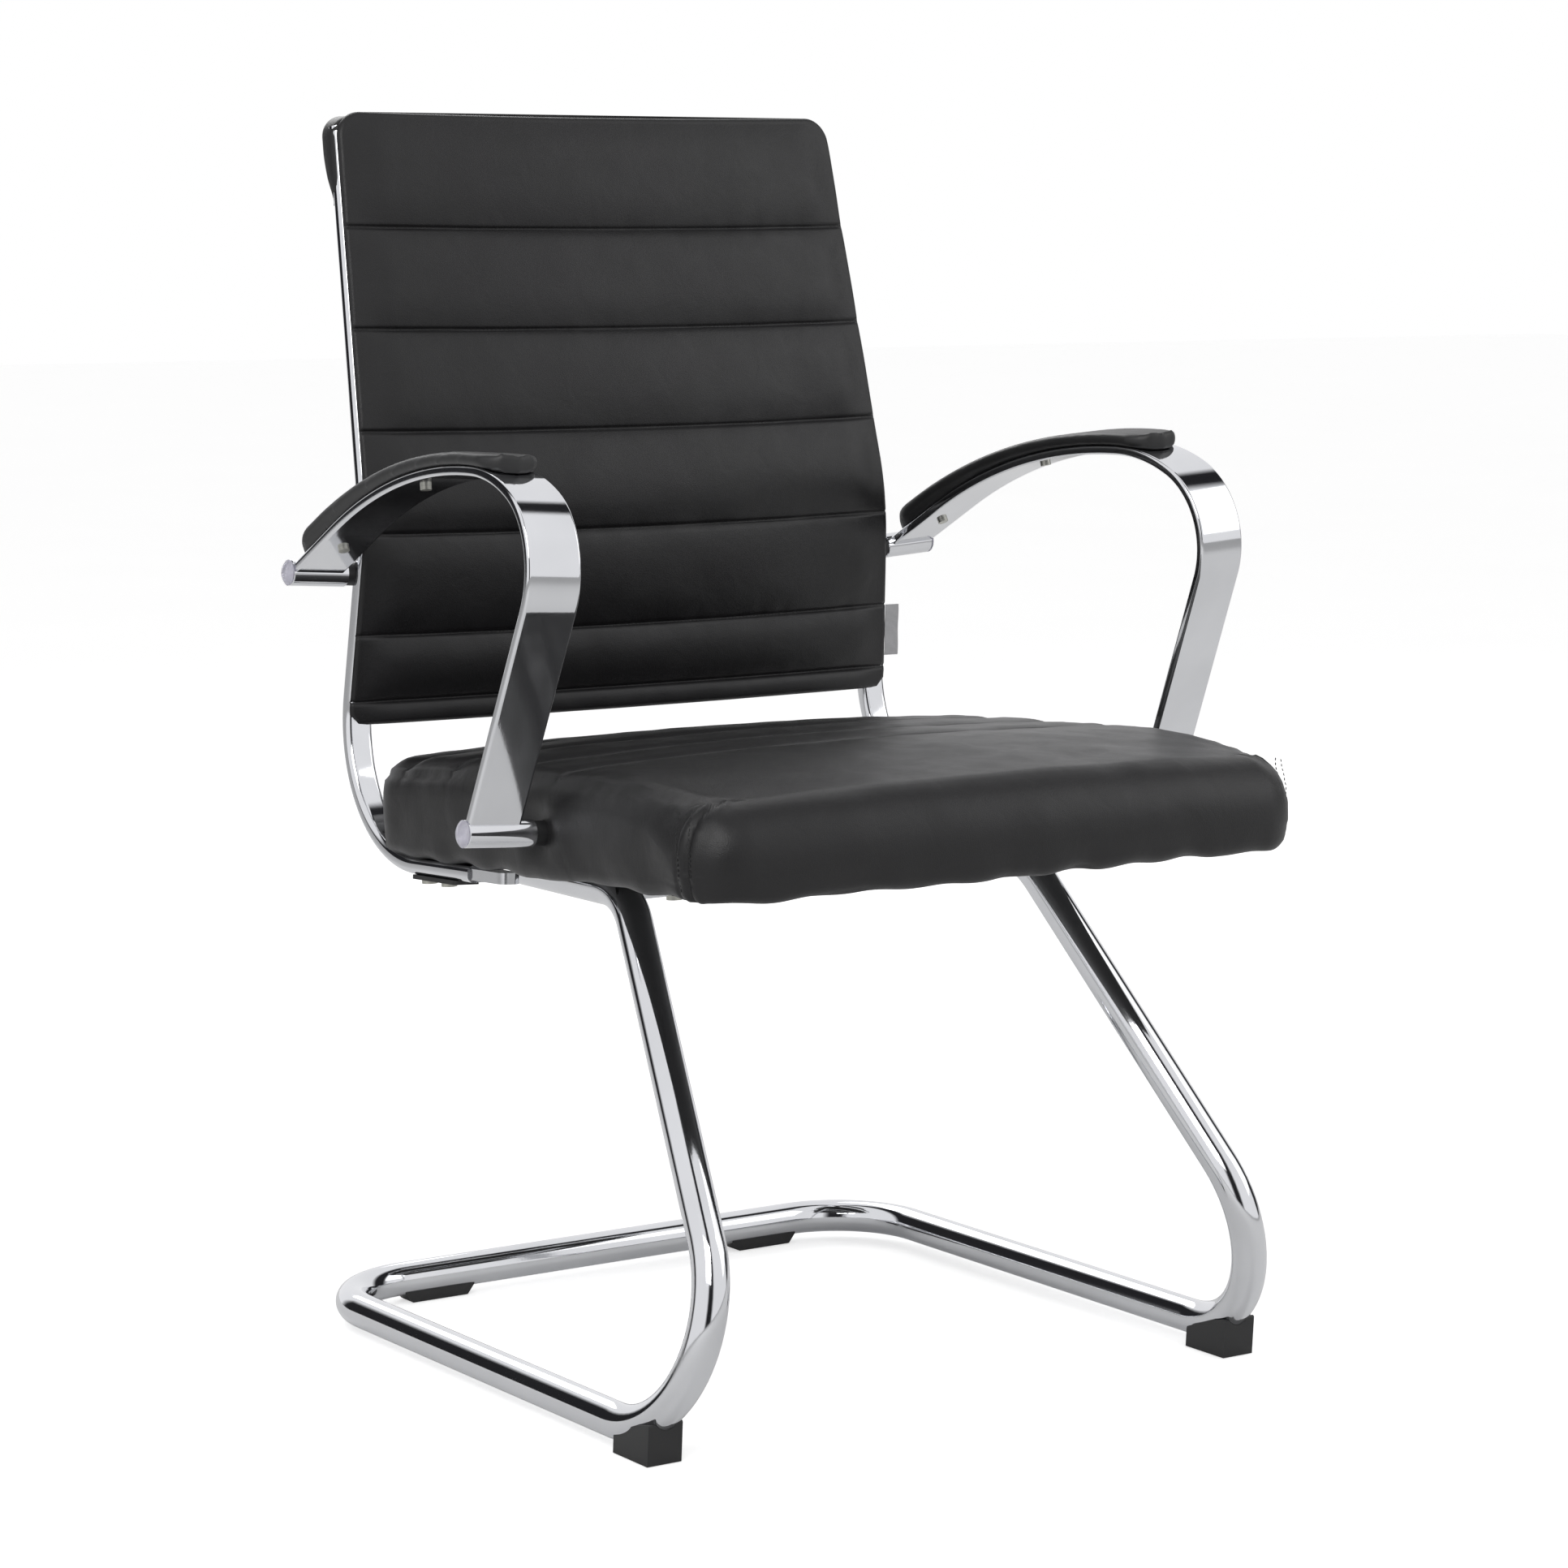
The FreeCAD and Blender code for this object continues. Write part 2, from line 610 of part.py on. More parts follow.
def make_foot_screws(sled_space):
    """Screws that run from a sunk head in each foot and glide up to the tube."""
    screws = []
    foot_x = num("floor_half_width - foot_inset")
    spots = []
    for hand in (-1, 1):
        spots.append(Vector(hand * foot_x, num(FOOT_SCREW_Y), 2.0))
        spots.append(Vector(hand * num("glide_x"), num("rear_tube_y"), 2.0))
    for spot in spots:
        shank = rod(num("screw_d"), spot, spot + Vector(0, 0, num("tube_od")))
        screws.append(shank.cut(sled_space.Shape))
    keep(feature_of("foot_screws", Part.makeCompound([s.Solids[0] for s in screws])))


# Side rails

# The splayed rail touches the seat plane with the edge of its flat
RAIL_SINK = "((rail_width / 2 - rail_corner_r) * sin(rail_splay) + rail_corner_r * (1 - cos(rail_splay)))"
WAIST_DROP = "(rail_waist_z - seat_plane_z)"
# The lower line of a rail meets the seat run here, in the frame of the seat plane's height
LOW_Y = f"((rail_waist_y + ({WAIST_DROP} + rail_depth / 2 / cos(seat_tilt)) * tan(rail_lean))" \
        " / (1 - tan(rail_lean) * tan(seat_tilt)))"
LOW_Z = f"(-rail_depth / 2 / cos(seat_tilt) - {LOW_Y} * tan(seat_tilt))"
TOP_Z = "(rail_top_z - seat_plane_z)"
TOP_Y = f"(rail_waist_y + ({TOP_Z} - {WAIST_DROP}) * tan(back_recline))"
END_Z = "(-rail_depth / 2 / cos(seat_tilt) - rail_end_y * tan(seat_tilt))"


def rail_placement(hand):
    """Frame of a rail: its YZ plane is the plane that the rail is bent in."""
    base = Vector(hand * num("rail_x"), 0, num(f"seat_plane_z - {RAIL_SINK}"))
    return Placement(base, Rotation(Vector(0, 1, 0), -hand * num("rail_splay")))


def rail_body(label, grow, hollow):
    """Flat-oval tube bent in one plane, grown all round by a clearance."""
    body = new_body(label)
    path = new_sketch(body, f"{label}_path", "YZ_Plane")
    outline(path, [
        side(TOP_Y, TOP_Z),
        side("rail_waist_y", WAIST_DROP, "rail_waist_r"),
        side(LOW_Y, LOW_Z, "rail_seat_r"),
        side("rail_end_y", END_Z),
    ], closed=False)
    section = new_sketch(body, f"{label}_section", "XY_Plane")
    lean = Rotation(Vector(1, 0, 0), -num("back_recline"))
    section.AttachmentOffset = Placement(Vector(0, num(TOP_Y), num(TOP_Z)), lean)
    sizes = [grow, "(0 - rail_wall)"] if hollow else [grow]
    for size in sizes:
        half_w = f"(rail_width / 2 + {size})"
        half_d = f"(rail_depth / 2 + {size})"
        corner = f"rail_corner_r + {size}"
        outline(section, [
            side(f"-{half_w}", f"-{half_d}", corner),
            side(half_w, f"-{half_d}", corner),
            side(half_w, half_d, corner),
            side(f"-{half_w}", half_d, corner),
        ])
    pipe(body, section, path)
    return body


def rail_spot(hand, y, gap="0"):
    """Frame on a rail's middle line under the seat, with its own XY plane along the rail."""
    frame = rail_placement(hand)
    z = f"(-rail_depth / 2 / cos(seat_tilt) - {y} * tan(seat_tilt))"
    spot = frame.multVec(Vector(0, num(y) - num(gap), num(z)))
    return Placement(spot, frame.Rotation.multiply(Rotation(Vector(1, 0, 0), -num("seat_tilt"))))


def make_rails(arm_bolt_space, bolt_space):
    """Rails with their tips and plates. Returns the room that the rails take."""
    spaces = []
    for hand, side_name in ((-1, "left"), (1, "right")):
        rail = rail_body(f"rail_tube_{side_name}", "0", True)
        rail.Placement = rail_placement(hand)
        keep(cut_of(f"side_rail_{side_name}", rail, [arm_bolt_space, bolt_space]))
        space = rail_body(f"rail_space_{side_name}", "fit_gap", False)
        space.Placement = rail_placement(hand)
        spaces.append(space)

        tip = new_body(f"rail_tip_{side_name}")
        plan = new_sketch(tip, f"rail_tip_plan_{side_name}", "XY_Plane")
        half = "(rail_width / 2 - tip_step)"
        outline(plan, [
            side(f"-{half}", "0"),
            side(f"-{half}", "-tip_length", f"{half} - 1"),
            side(half, "-tip_length", f"{half} - 1"),
            side(half, "0"),
        ])
        pad(tip, plan, "rail_depth - 2 * tip_step", symmetric=True)
        tip.Placement = rail_spot(hand, "rail_end_y", "fit_gap")
        keep(tip)

        plate = new_body(f"rail_plate_blank_{side_name}")
        plan = new_sketch(plate, f"rail_plate_plan_{side_name}", "XY_Plane", shift="-rail_depth / 2")
        outline(plan, [
            side("-rail_width / 2", "-plate_length / 2", "3"),
            side("rail_width / 2", "-plate_length / 2", "3"),
            side("rail_width / 2", "plate_length / 2", "3"),
            side("-rail_width / 2", "plate_length / 2", "3"),
        ])
        pad(plate, plan, "plate_thickness", reverse=True)
        plate.Placement = rail_spot(hand, "((rail_bolt_y1 + rail_bolt_y2) / 2 - plate_back)")
        keep(cut_of(f"rail_plate_{side_name}", plate, [bolt_space]))
    return spaces


# Seat: a board, foam and a cover whose thin wadding is sewn in channels

SEAT_FAR_FRONT = "(seat_front_y - seat_bow - 5)"
SEAT_FAR_REAR = "(seat_rear_y + 10)"


def box_outline(sketch, reach):
    """Large square round the origin, the outer limit of a cut."""
    outline(sketch, [
        side(f"-{reach}", f"-{reach}"),
        side(reach, f"-{reach}"),
        side(reach, reach),
        side(f"-{reach}", reach),
    ])


def seat_plan(sketch, inset):
    """Outline of the seat from above: rounded corners and a bowed front."""
    half = f"(seat_half_width - {inset})"
    front = f"(seat_front_y + {inset})"
    rear = f"(seat_rear_y - {inset})"
    corner = f"(seat_corner_r - {inset})"
    bow_r = f"({half} - 1.3 * {corner}) * {half} / seat_bow"
    outline(sketch, [
        side("0", f"{front} - seat_bow", bow_r),
        side(half, front, corner),
        side(half, rear, corner),
        side(f"-{half}", rear, corner),
        side(f"-{half}", front, corner),
    ])


def seat_block(label, inset, floor, roll):
    """Crowned cushion, drawn in all round by inset, from the height floor upwards."""
    body = new_body(label)
    profile = new_sketch(body, f"{label}_profile", "YZ_Plane")
    crest = f"(seat_top - {inset})"
    nose = f"({crest} - (seat_crest_front_y - {SEAT_FAR_FRONT}) * tan(seat_nose_slope))"
    tail = f"({crest} - ({SEAT_FAR_REAR} - seat_crest_rear_y) * tan(seat_rear_slope))"
    outline(profile, [
        side(SEAT_FAR_FRONT, "-20"),
        side(SEAT_FAR_FRONT, nose),
        side("seat_crest_front_y", crest, "seat_crest_r"),
        side("seat_crest_rear_y", crest, "seat_crest_r"),
        side(SEAT_FAR_REAR, tail),
        side(SEAT_FAR_REAR, "-20"),
    ])
    axis_line(profile, (SEAT_FAR_FRONT, "-seat_crown_r"), (SEAT_FAR_REAR, "-seat_crown_r"))
    revolve(body, profile, "Axis0", "2 * asin((seat_half_width + 20) / seat_crown_r)")
    plan = new_sketch(body, f"{label}_plan", "XY_Plane")
    box_outline(plan, "(seat_half_width * 2)")
    seat_plan(plan, inset)
    pocket(body, plan)
    under = new_sketch(body, f"{label}_under", "XY_Plane", shift=floor)
    box_outline(under, "(seat_half_width * 2)")
    pocket(body, under, "200", symmetric=False)
    low = num(floor)
    high = low + num("seat_top") / 4
    fillet(body, f"(seat_shoulder_r - {inset})", lambda shape, edge: (
        lowest(edge) > high and borders_wall(shape, edge, Vector(0, 0, 1))))
    if roll is not None:
        fillet(body, roll, lambda shape, edge: highest(edge) < low + 0.001)
    return body


def seat_top_at(y):
    """Height of the seat's crest line at y, over the seat plane."""
    front, rear = num("seat_crest_front_y"), num("seat_crest_rear_y")
    top = num("seat_top")
    if y > rear:
        return top - (y - rear) * math.tan(math.radians(num("seat_rear_slope")))
    if y < front:
        return top - (front - y) * math.tan(math.radians(num("seat_nose_slope")))
    return top


def cut_channels(body):
    """Press the sewn channels into the seat, across its crown and down over both shoulders."""
    half = "(seat_half_width - channel_depth)"
    shoulder = "(seat_shoulder_r - channel_depth)"
    clear = "(seat_half_width + 10)"
    for count in range(int(num("channel_count"))):
        y = f"(channel_first_y - {count} * channel_pitch)"
        drop = f"{seat_top_at(num(y)) - num('seat_top')}"
        crown = f"(seat_crown_r + seat_top + {drop} - channel_depth)"
        slope = f"(({half} - {shoulder}) / {crown})"
        peak = f"({crown} * sqrt(1 + {slope} ^ 2) - seat_crown_r)"
        edge = f"({peak} - {slope} * {half})"
        low = f"({edge} - {shoulder})"
        sketch = new_sketch(body, f"{body.Label}_channel{count}", "XZ_Plane", shift=f"-{y}")
        outline(sketch, [
            side(f"-{clear}", low),
            side(f"-{half}", low),
            side(f"-{half}", edge, f"{shoulder} * 0.98"),
            side("0", peak, f"{crown} * 0.99"),
            side(half, edge, f"{shoulder} * 0.98"),
            side(half, low),
            side(clear, low),
            side(clear, "seat_top + 30"),
            side(f"-{clear}", "seat_top + 30"),
        ])
        pocket(body, sketch, "channel_width")


QUILT = "(cover_thickness + channel_depth)"
BOARD_TOP = "(cover_thickness + seat_board)"


def make_seat(bolt_space, brackets, arm_bolt_space):
    blank = seat_block("seat_cover_blank", "0", "0", "seat_roll_r")
    cut_channels(blank)
    opening = new_sketch(blank, "seat_cover_opening", "XY_Plane")
    seat_plan(opening, "cover_turn_in")
    pocket(blank, opening, "2 * (cover_thickness + 1)")
    blank.Placement = seat_placement()
    room = seat_block("seat_cover_room", QUILT, "cover_thickness", f"(seat_roll_r - {QUILT})")
    room.Placement = seat_placement()
    keep(cut_of("seat_cover", blank, [room, bolt_space, arm_bolt_space]))

    foam = seat_block("seat_foam_blank", f"({QUILT} + soft_gap)", BOARD_TOP, None)
    foam.Placement = seat_placement()
    keep(cut_of("seat_foam", foam, [bolt_space, arm_bolt_space] + brackets))

    board = new_body("seat_board_blank")
    plan = new_sketch(board, "seat_board_plan", "XY_Plane", shift="cover_thickness")
    seat_plan(plan, "board_inset")
    pad(board, plan, "seat_board")
    board.Placement = seat_placement()
    keep(cut_of("seat_pan", board, [bolt_space]))

    lining = new_body("seat_lining_blank")
    sheet_plan = new_sketch(lining, "seat_lining_plan", "XY_Plane")
    seat_plan(sheet_plan, "(cover_turn_in + fit_gap)")
    pad(lining, sheet_plan, "cover_thickness")
    lining.Placement = seat_placement()
    keep(cut_of("seat_lining", lining, [bolt_space]))


# Back: a board between the rails, foam and a ribbed cover in front, a stiff cover behind

RAIL_FRONT = "(rail_depth / 2 + fit_gap)"


def line_y(z, forward):
    """Y of a line along the rails, moved forward of their middle line, at height z."""
    above = num(z) > num("rail_waist_z")
    lean = "back_recline" if above else "rail_lean"
    height = f"({z} - rail_waist_z)" if above else f"(rail_waist_z - {z})"
    return f"(rail_waist_y + {height} * tan({lean}) - {forward} / cos({lean}))"


def waist_corner(forward):
    """Bend of a line along the rails, moved forward of their middle line."""
    turn = "((back_recline + rail_lean) / 2)"
    slip = "((back_recline - rail_lean) / 2)"
    return side(f"rail_waist_y - {forward} * cos({slip}) / cos({turn})",
                f"rail_waist_z + {forward} * sin({slip}) / cos({turn})",
                f"rail_waist_r + {forward}")


def sheet_outline(sketch, low, high, front, rear):
    """Side view of a sheet that follows the rails between two heights."""
    if num(low) > num("rail_waist_z"):
        outline(sketch, [
            side(line_y(low, rear), low),
            side(line_y(high, rear), high),
            side(line_y(high, front), high),
            side(line_y(low, front), low),
        ])
        return
    outline(sketch, [
        side(line_y(low, rear), low),
        waist_corner(rear),
        side(line_y(high, rear), high),
        side(line_y(high, front), high),
        waist_corner(front),
        side(line_y(low, front), low),
    ])


def seam_levels():
    """Heights of the hem's seam, the seams between ribs and the top edge."""
    levels = ["(hem_z + hem_height)"]
    for number in range(int(num("rib_count")) - 1):
        levels.append(f"(back_top_z - top_rib - {int(num('rib_count')) - 2 - number} * rib_pitch)")
    return levels + ["(back_top_z - top_roll)"]


def rib_radius(first, last, bulge):
    """Radius of an arc of the given bulge over the chord between two points."""
    chord = f"(({first[0]} - {last[0]}) ^ 2 + ({first[1]} - {last[1]}) ^ 2)"
    return f"({chord} / 8 / {bulge} + {bulge} / 2)"


def back_profile(sketch, inset):
    """Side view of the front pad: its ribs in front and a straight line far behind."""
    face = f"({RAIL_FRONT} + pad_middle - {inset})"
    far = "(rail_waist_y + 250)"
    points = [(line_y(z, face), z) for z in seam_levels()]
    corners = [side(line_y("hem_z", face), f"hem_z + {inset}")]
    for first, last in zip(points, points[1:]):
        corners.append(side(first[0], first[1], arc=f"-{rib_radius(first, last, 'rib_bulge')}"))
    crest = (line_y("back_top_z", f"({RAIL_FRONT} + {inset})"), f"back_top_z - {inset}")
    edge_arc = f"-{rib_radius(points[-1], crest, '(rib_bulge / 2)')}"
    corners.append(side(points[-1][0], points[-1][1], arc=edge_arc))
    corners.append(side(crest[0], crest[1]))
    corners.append(side(far, f"back_top_z - {inset}"))
    corners.append(side(far, f"hem_z + {inset}"))
    outline(sketch, corners)


def rail_side(z, inset):
    """Half width between the rails' outer faces at height z, less inset."""
    rise = f"({z} - seat_plane_z + {RAIL_SINK})"
    return f"(rail_x + rail_width / 2 / cos(rail_splay) - {rise} * tan(rail_splay) - {inset})"


def back_sides(sketch, low, high, inset, top_r="0.5", low_r="0.5"):
    """Front view of a back piece, whose sides lean in with the rails."""
    outline(sketch, [
        side(f"-{rail_side(low, inset)}", low, low_r),
        side(rail_side(low, inset), low, low_r),
        side(rail_side(high, inset), high, top_r),
        side(f"-{rail_side(high, inset)}", high, top_r),
    ])


def trim_sides(body, low, high, inset, top_r="0.5", low_r="0.5"):
    """Cut away what lies outside the sides of a back piece."""
    sketch = new_sketch(body, f"{body.Label}_sides", "XZ_Plane")
    box_outline(sketch, "(back_top_z * 1.5)")
    back_sides(sketch, low, high, inset, top_r, low_r)
    pocket(body, sketch, "2000")


def back_block(label, inset):
    """Crowned and ribbed front pad of the back, drawn in all round by inset."""
    body = new_body(label)
    profile = new_sketch(body, f"{label}_profile", "YZ_Plane")
    back_profile(profile, inset)
    axis_line(profile, ("back_crown_r", "hem_z"), ("back_crown_r", "back_top_z"))
    revolve(body, profile, "Axis0", "2 * asin((rail_x + rail_width) / (back_crown_r - 400))")
    behind = new_sketch(body, f"{label}_behind", "YZ_Plane")
    low, high, far = "(hem_z - 20)", "(back_top_z + 20)", "(rail_waist_y + 300)"
    outline(behind, [
        side(line_y(low, RAIL_FRONT), low),
        waist_corner(RAIL_FRONT),
        side(line_y(high, RAIL_FRONT), high),
        side(far, high),
        side(far, low),
    ])
    pocket(body, behind, "1200")
    trim_sides(body, f"(hem_z + {inset})", f"(back_top_z - {inset})", f"(pad_side_gap + {inset})",
               f"(back_corner_r - {inset})", f"(back_corner_r / 3 - {inset})")
    return body


BOARD_FRONT = "(rail_depth / 2)"
BOARD_REAR = "(rail_depth / 2 - back_board)"
TAB_REAR = f"({BOARD_REAR} - fixing_thickness)"
REAR_FRONT = f"({TAB_REAR} - fit_gap)"
REAR_BACK = f"({REAR_FRONT} - rear_cover)"
ROLL_BACK = "(-rail_depth / 2 - fit_gap - rear_cover)"


def make_back(rail_spaces):
    blank = back_block("back_front_blank", "0")
    room = back_block("back_front_room", "cover_thickness")
    keep(cut_of("back_front_cover", blank, [room]))
    keep(back_block("back_foam", "(cover_thickness + soft_gap)"))

    board = new_body("back_board")
    profile = new_sketch(board, "back_board_profile", "YZ_Plane")
    sheet_outline(profile, "(hem_z + board_hem)", "(rail_top_z - 4)", BOARD_FRONT, BOARD_REAR)
    pad(board, profile, "1200", symmetric=True)
    trim_sides(board, "(hem_z + board_hem)", "(rail_top_z - 4)", "(rail_width / cos(rail_splay) + fit_gap)")
    keep(board)

    sheet_body = new_body("back_rear_sheet")
    profile = new_sketch(sheet_body, "back_rear_profile", "YZ_Plane")
    sheet_outline(profile, "(hem_z + 2)", "rear_roll_z", REAR_FRONT, REAR_BACK)
    pad(sheet_body, profile, "1200", symmetric=True)
    trim_sides(sheet_body, "(hem_z + 2)", "rear_roll_z", "(rail_width / cos(rail_splay) + fit_gap)")
    roll = new_body("back_rear_roll")
    profile = new_sketch(roll, "back_rear_roll_profile", "YZ_Plane")
    sheet_outline(profile, "rear_roll_z", "(back_top_z - 1)", f"({RAIL_FRONT} - fit_gap)", ROLL_BACK)
    pad(roll, profile, "1200", symmetric=True)
    trim_sides(roll, "(rear_roll_z - 5)", "(back_top_z - 1)", "pad_side_gap", "back_corner_r", "0.5")
    inside = new_body("back_rear_inside")
    profile = new_sketch(inside, "back_rear_inside_profile", "YZ_Plane")
    sheet_outline(profile, "(rear_roll_z - 5)", "(rail_top_z + fit_gap)", "30", REAR_FRONT)
    pad(inside, profile, "1200", symmetric=True)
    trim_sides(inside, "(rear_roll_z - 5)", "(rail_top_z + fit_gap)", "(rail_width / cos(rail_splay))")
    joined = document.addObject("Part::MultiFuse", "back_rear_joined")
    joined.Shapes = [sheet_body, roll]
    document.recompute()
    keep(cut_of("back_rear_cover", joined, [inside] + rail_spaces))


def make_side_tab():
    """Bare tab sewn into the back's side seam."""
    body = new_body("side_tab")
    plan = new_sketch(body, "side_tab_plan", "XZ_Plane")
    middle = "(tab_z + tab_height / 2)"
    inner = f"({rail_side(middle, '0')} - pad_side_gap + fit_gap)"
    slant = "(tab_height / 2 * tan(rail_splay))"
    outline(plan, [
        side(f"{inner} + {slant}", "tab_z"),
        side(f"{inner} + tab_width", "tab_z", "1.5"),
        side(f"{inner} + tab_width", "tab_z + tab_height", "1.5"),
        side(f"{inner} - {slant}", "tab_z + tab_height"),
    ])
    pad(body, plan, "tab_thickness", symmetric=True)
    body.setExpression("Placement.Base.y", ref(line_y(middle, f"({RAIL_FRONT} + tab_forward)")))
    keep(body)


# Arms: flat bars bent in one plane, with turned bosses and soft pads

ARM_TOP_Y = "(-arm_rise / tan(arm_slope))"
BROW_Y = "(arm_front_y - arm_brow_reach * cos(arm_brow))"
BROW_Z = "(arm_rise - arm_brow_reach * sin(arm_brow))"
FRONT_BOSS_Y = f"({BROW_Y} + ({BROW_Z} + arm_drop) * tan(arm_leg_lean))"
HANDS = ((-1, "left"), (1, "right"))
BOSSES = (("rear", "0", "0"), ("front", FRONT_BOSS_Y, "-arm_drop"))


def arm_placement(hand, y="0", z="0"):
    """Frame of an arm, whose YZ plane is the plane that the bar is bent in, moved to y, z."""
    toe = Rotation(Vector(0, 0, 1), hand * num("arm_toe"))
    flare = Rotation(Vector(0, 1, 0), -hand * num("arm_flare"))
    base = Vector(hand * num("arm_x"), num("arm_rear_y"), num("arm_rear_z"))
    frame = Placement(base, toe.multiply(flare))
    return frame.multiply(Placement(Vector(0, num(y), num(z)), Rotation()))


def outward(hand):
    """Turn that makes a piece's own X point away from the chair."""
    return Placement(Vector(), Rotation(Vector(0, 0, 1), 0 if hand > 0 else 180))


def make_arm_bars():
    for hand, side_name in HANDS:
        bar = new_body(f"arm_bar_{side_name}")
        path = new_sketch(bar, f"arm_path_{side_name}", "YZ_Plane")
        outline(path, [
            side("0", "0"),
            side(ARM_TOP_Y, "arm_rise", "arm_arch_r"),
            side("arm_front_y", "arm_rise", "arm_brow_r"),
            side(BROW_Y, BROW_Z, "arm_front_r"),
            side(FRONT_BOSS_Y, "-arm_drop"),
        ], closed=False)
        section = new_sketch(bar, f"arm_section_{side_name}", "XY_Plane")
        section.AttachmentOffset = Placement(Vector(), Rotation(Vector(1, 0, 0), 90 - num("arm_slope")))
        outline(section, [
            side("-arm_width / 2", "-arm_thickness / 2", "arm_edge_r"),
            side("arm_width / 2", "-arm_thickness / 2", "arm_edge_r"),
            side("arm_width / 2", "arm_thickness / 2", "arm_edge_r"),
            side("-arm_width / 2", "arm_thickness / 2", "arm_edge_r"),
        ])
        pipe(bar, section, path)
        ends = new_sketch(bar, f"arm_ends_{side_name}", "YZ_Plane")
        for end, y, z in BOSSES:
            circle(ends, y, z, "boss_od")
        pocket(bar, ends, "4 * arm_width")
        bar.Placement = arm_placement(hand)
        screws = feature_of(f"pad_screw_room_{side_name}", pad_screw_shape("screw_d + 0.2"), arm_placement(hand))
        keep(cut_of(f"arm_{side_name}", bar, [screws]))


BOSS_OUT = "(arm_width / 2)"
BOSS_IN = "(arm_width / 2 - boss_length)"


def make_bosses(targets):
    for hand, side_name in HANDS:
        for end, y, z in BOSSES:
            name = f"{end}_{side_name}"
            frame = arm_placement(hand, y, z).multiply(outward(hand))
            boss = new_body(f"arm_boss_{name}")
            half = new_sketch(boss, f"arm_boss_half_{name}", "XY_Plane")
            outline(half, [
                side(BOSS_IN, "boss_bore / 2"),
                side(f"{BOSS_OUT} - boss_sink", "boss_bore / 2"),
                side(f"{BOSS_OUT} - boss_sink", "boss_sink_d / 2"),
                side(BOSS_OUT, "boss_sink_d / 2"),
                side(BOSS_OUT, "boss_od / 2 - 0.8"),
                side(f"{BOSS_OUT} - 0.8", "boss_od / 2"),
                side(BOSS_IN, "boss_od / 2"),
            ])
            revolve(boss, half, "H_Axis")
            boss.Placement = frame
            keep(boss)

            cap = new_body(f"boss_cap_{name}")
            half = new_sketch(cap, f"boss_cap_half_{name}", "XY_Plane")
            outline(half, [
                side(f"{BOSS_OUT} - cap_stem", "0"),
                side(f"{BOSS_OUT} - cap_stem", "boss_sink_d / 2 - fit_gap"),
                side(BOSS_OUT, "boss_sink_d / 2 - fit_gap"),
                side(BOSS_OUT, "boss_od / 2"),
                side(f"{BOSS_OUT} + 1", "boss_od / 2", arc="-((boss_od / 2) ^ 2 + boss_cap_dome ^ 2) / (2 * boss_cap_dome)"),
                side(f"{BOSS_OUT} + 1 + boss_cap_dome", "0"),
            ])
            revolve(cap, half, "H_Axis")
            cap.Placement = frame
            keep(cap)

            ring = new_body(f"spacer_ring_{name}")
            half = new_sketch(ring, f"spacer_half_{name}", "XY_Plane")
            outline(half, [
                side(f"{BOSS_IN} - spacer_reach", "boss_bore / 2"),
                side(BOSS_IN, "boss_bore / 2"),
                side(BOSS_IN, "spacer_od / 2"),
                side(f"{BOSS_IN} - spacer_reach", "spacer_od / 2"),
            ])
            revolve(ring, half, "H_Axis")
            ring.Placement = frame
            keep(cut_of(f"arm_spacer_{name}", ring, [targets[end, hand]]))


def bolt_shape(diameter, head, start, length, head_length):
    """Bolt along X that starts at the outer end of its head and runs inwards."""
    top = Vector(start, 0, 0)
    neck = Vector(start - head_length, 0, 0)
    tip = Vector(start - head_length - length, 0, 0)
    return rod(head, neck, top).fuse(rod(diameter, tip, neck)).removeSplitter()


def arm_bolt_places():
    places = []
    for hand, side_name in HANDS:
        for end, y, z in BOSSES:
            frame = arm_placement(hand, y, z).multiply(outward(hand))
            places.append((frame, num("arm_bolt_front" if end == "front" else "arm_bolt_rear")))
    return places


def make_arm_bolts():
    """Bolts through the bosses. Returns the room that they need."""
    bolts, spaces = [], []
    start = num(f"{BOSS_OUT} - cap_stem - fit_gap")
    head_length = num("boss_sink - cap_stem - fit_gap")
    for frame, length in arm_bolt_places():
        bolt = bolt_shape(num("arm_bolt_d"), num("boss_sink_d - 4 * fit_gap"), start, length, head_length)
        bolt.Placement = frame
        bolts.append(bolt)
        inside = Vector(num(BOSS_IN), 0, 0)
        space = rod(num("arm_bolt_d + 4 * fit_gap"), Vector(start - head_length - length - 1, 0, 0), inside)
        space.Placement = frame
        spaces.append(space)
    keep(feature_of("arm_bolts", Part.makeCompound(bolts)))
    return feature_of("arm_bolt_space", Part.makeCompound(spaces))


def pad_base_line(forward):
    """Corners of a line that runs at a distance over the bar's middle line."""
    rise = f"(arm_rise + {forward})"
    return [
        side(f"-({rise} - {forward} / cos(arm_slope)) / tan(arm_slope)", rise, f"arm_arch_r + {forward}"),
        side(f"arm_front_y + {forward} * (1 - 1 / cos(arm_brow)) / tan(arm_brow)", rise,
             f"arm_brow_r + {forward}"),
    ]


def arch_z(y, radius):
    """Height on the pad's top arc, or on an arc about the same middle, at y."""
    return f"(arm_rise + arm_thickness / 2 + armpad_top - armpad_top_r" \
           f" + sqrt({radius} ^ 2 - ({y} - armpad_apex_y) ^ 2))"


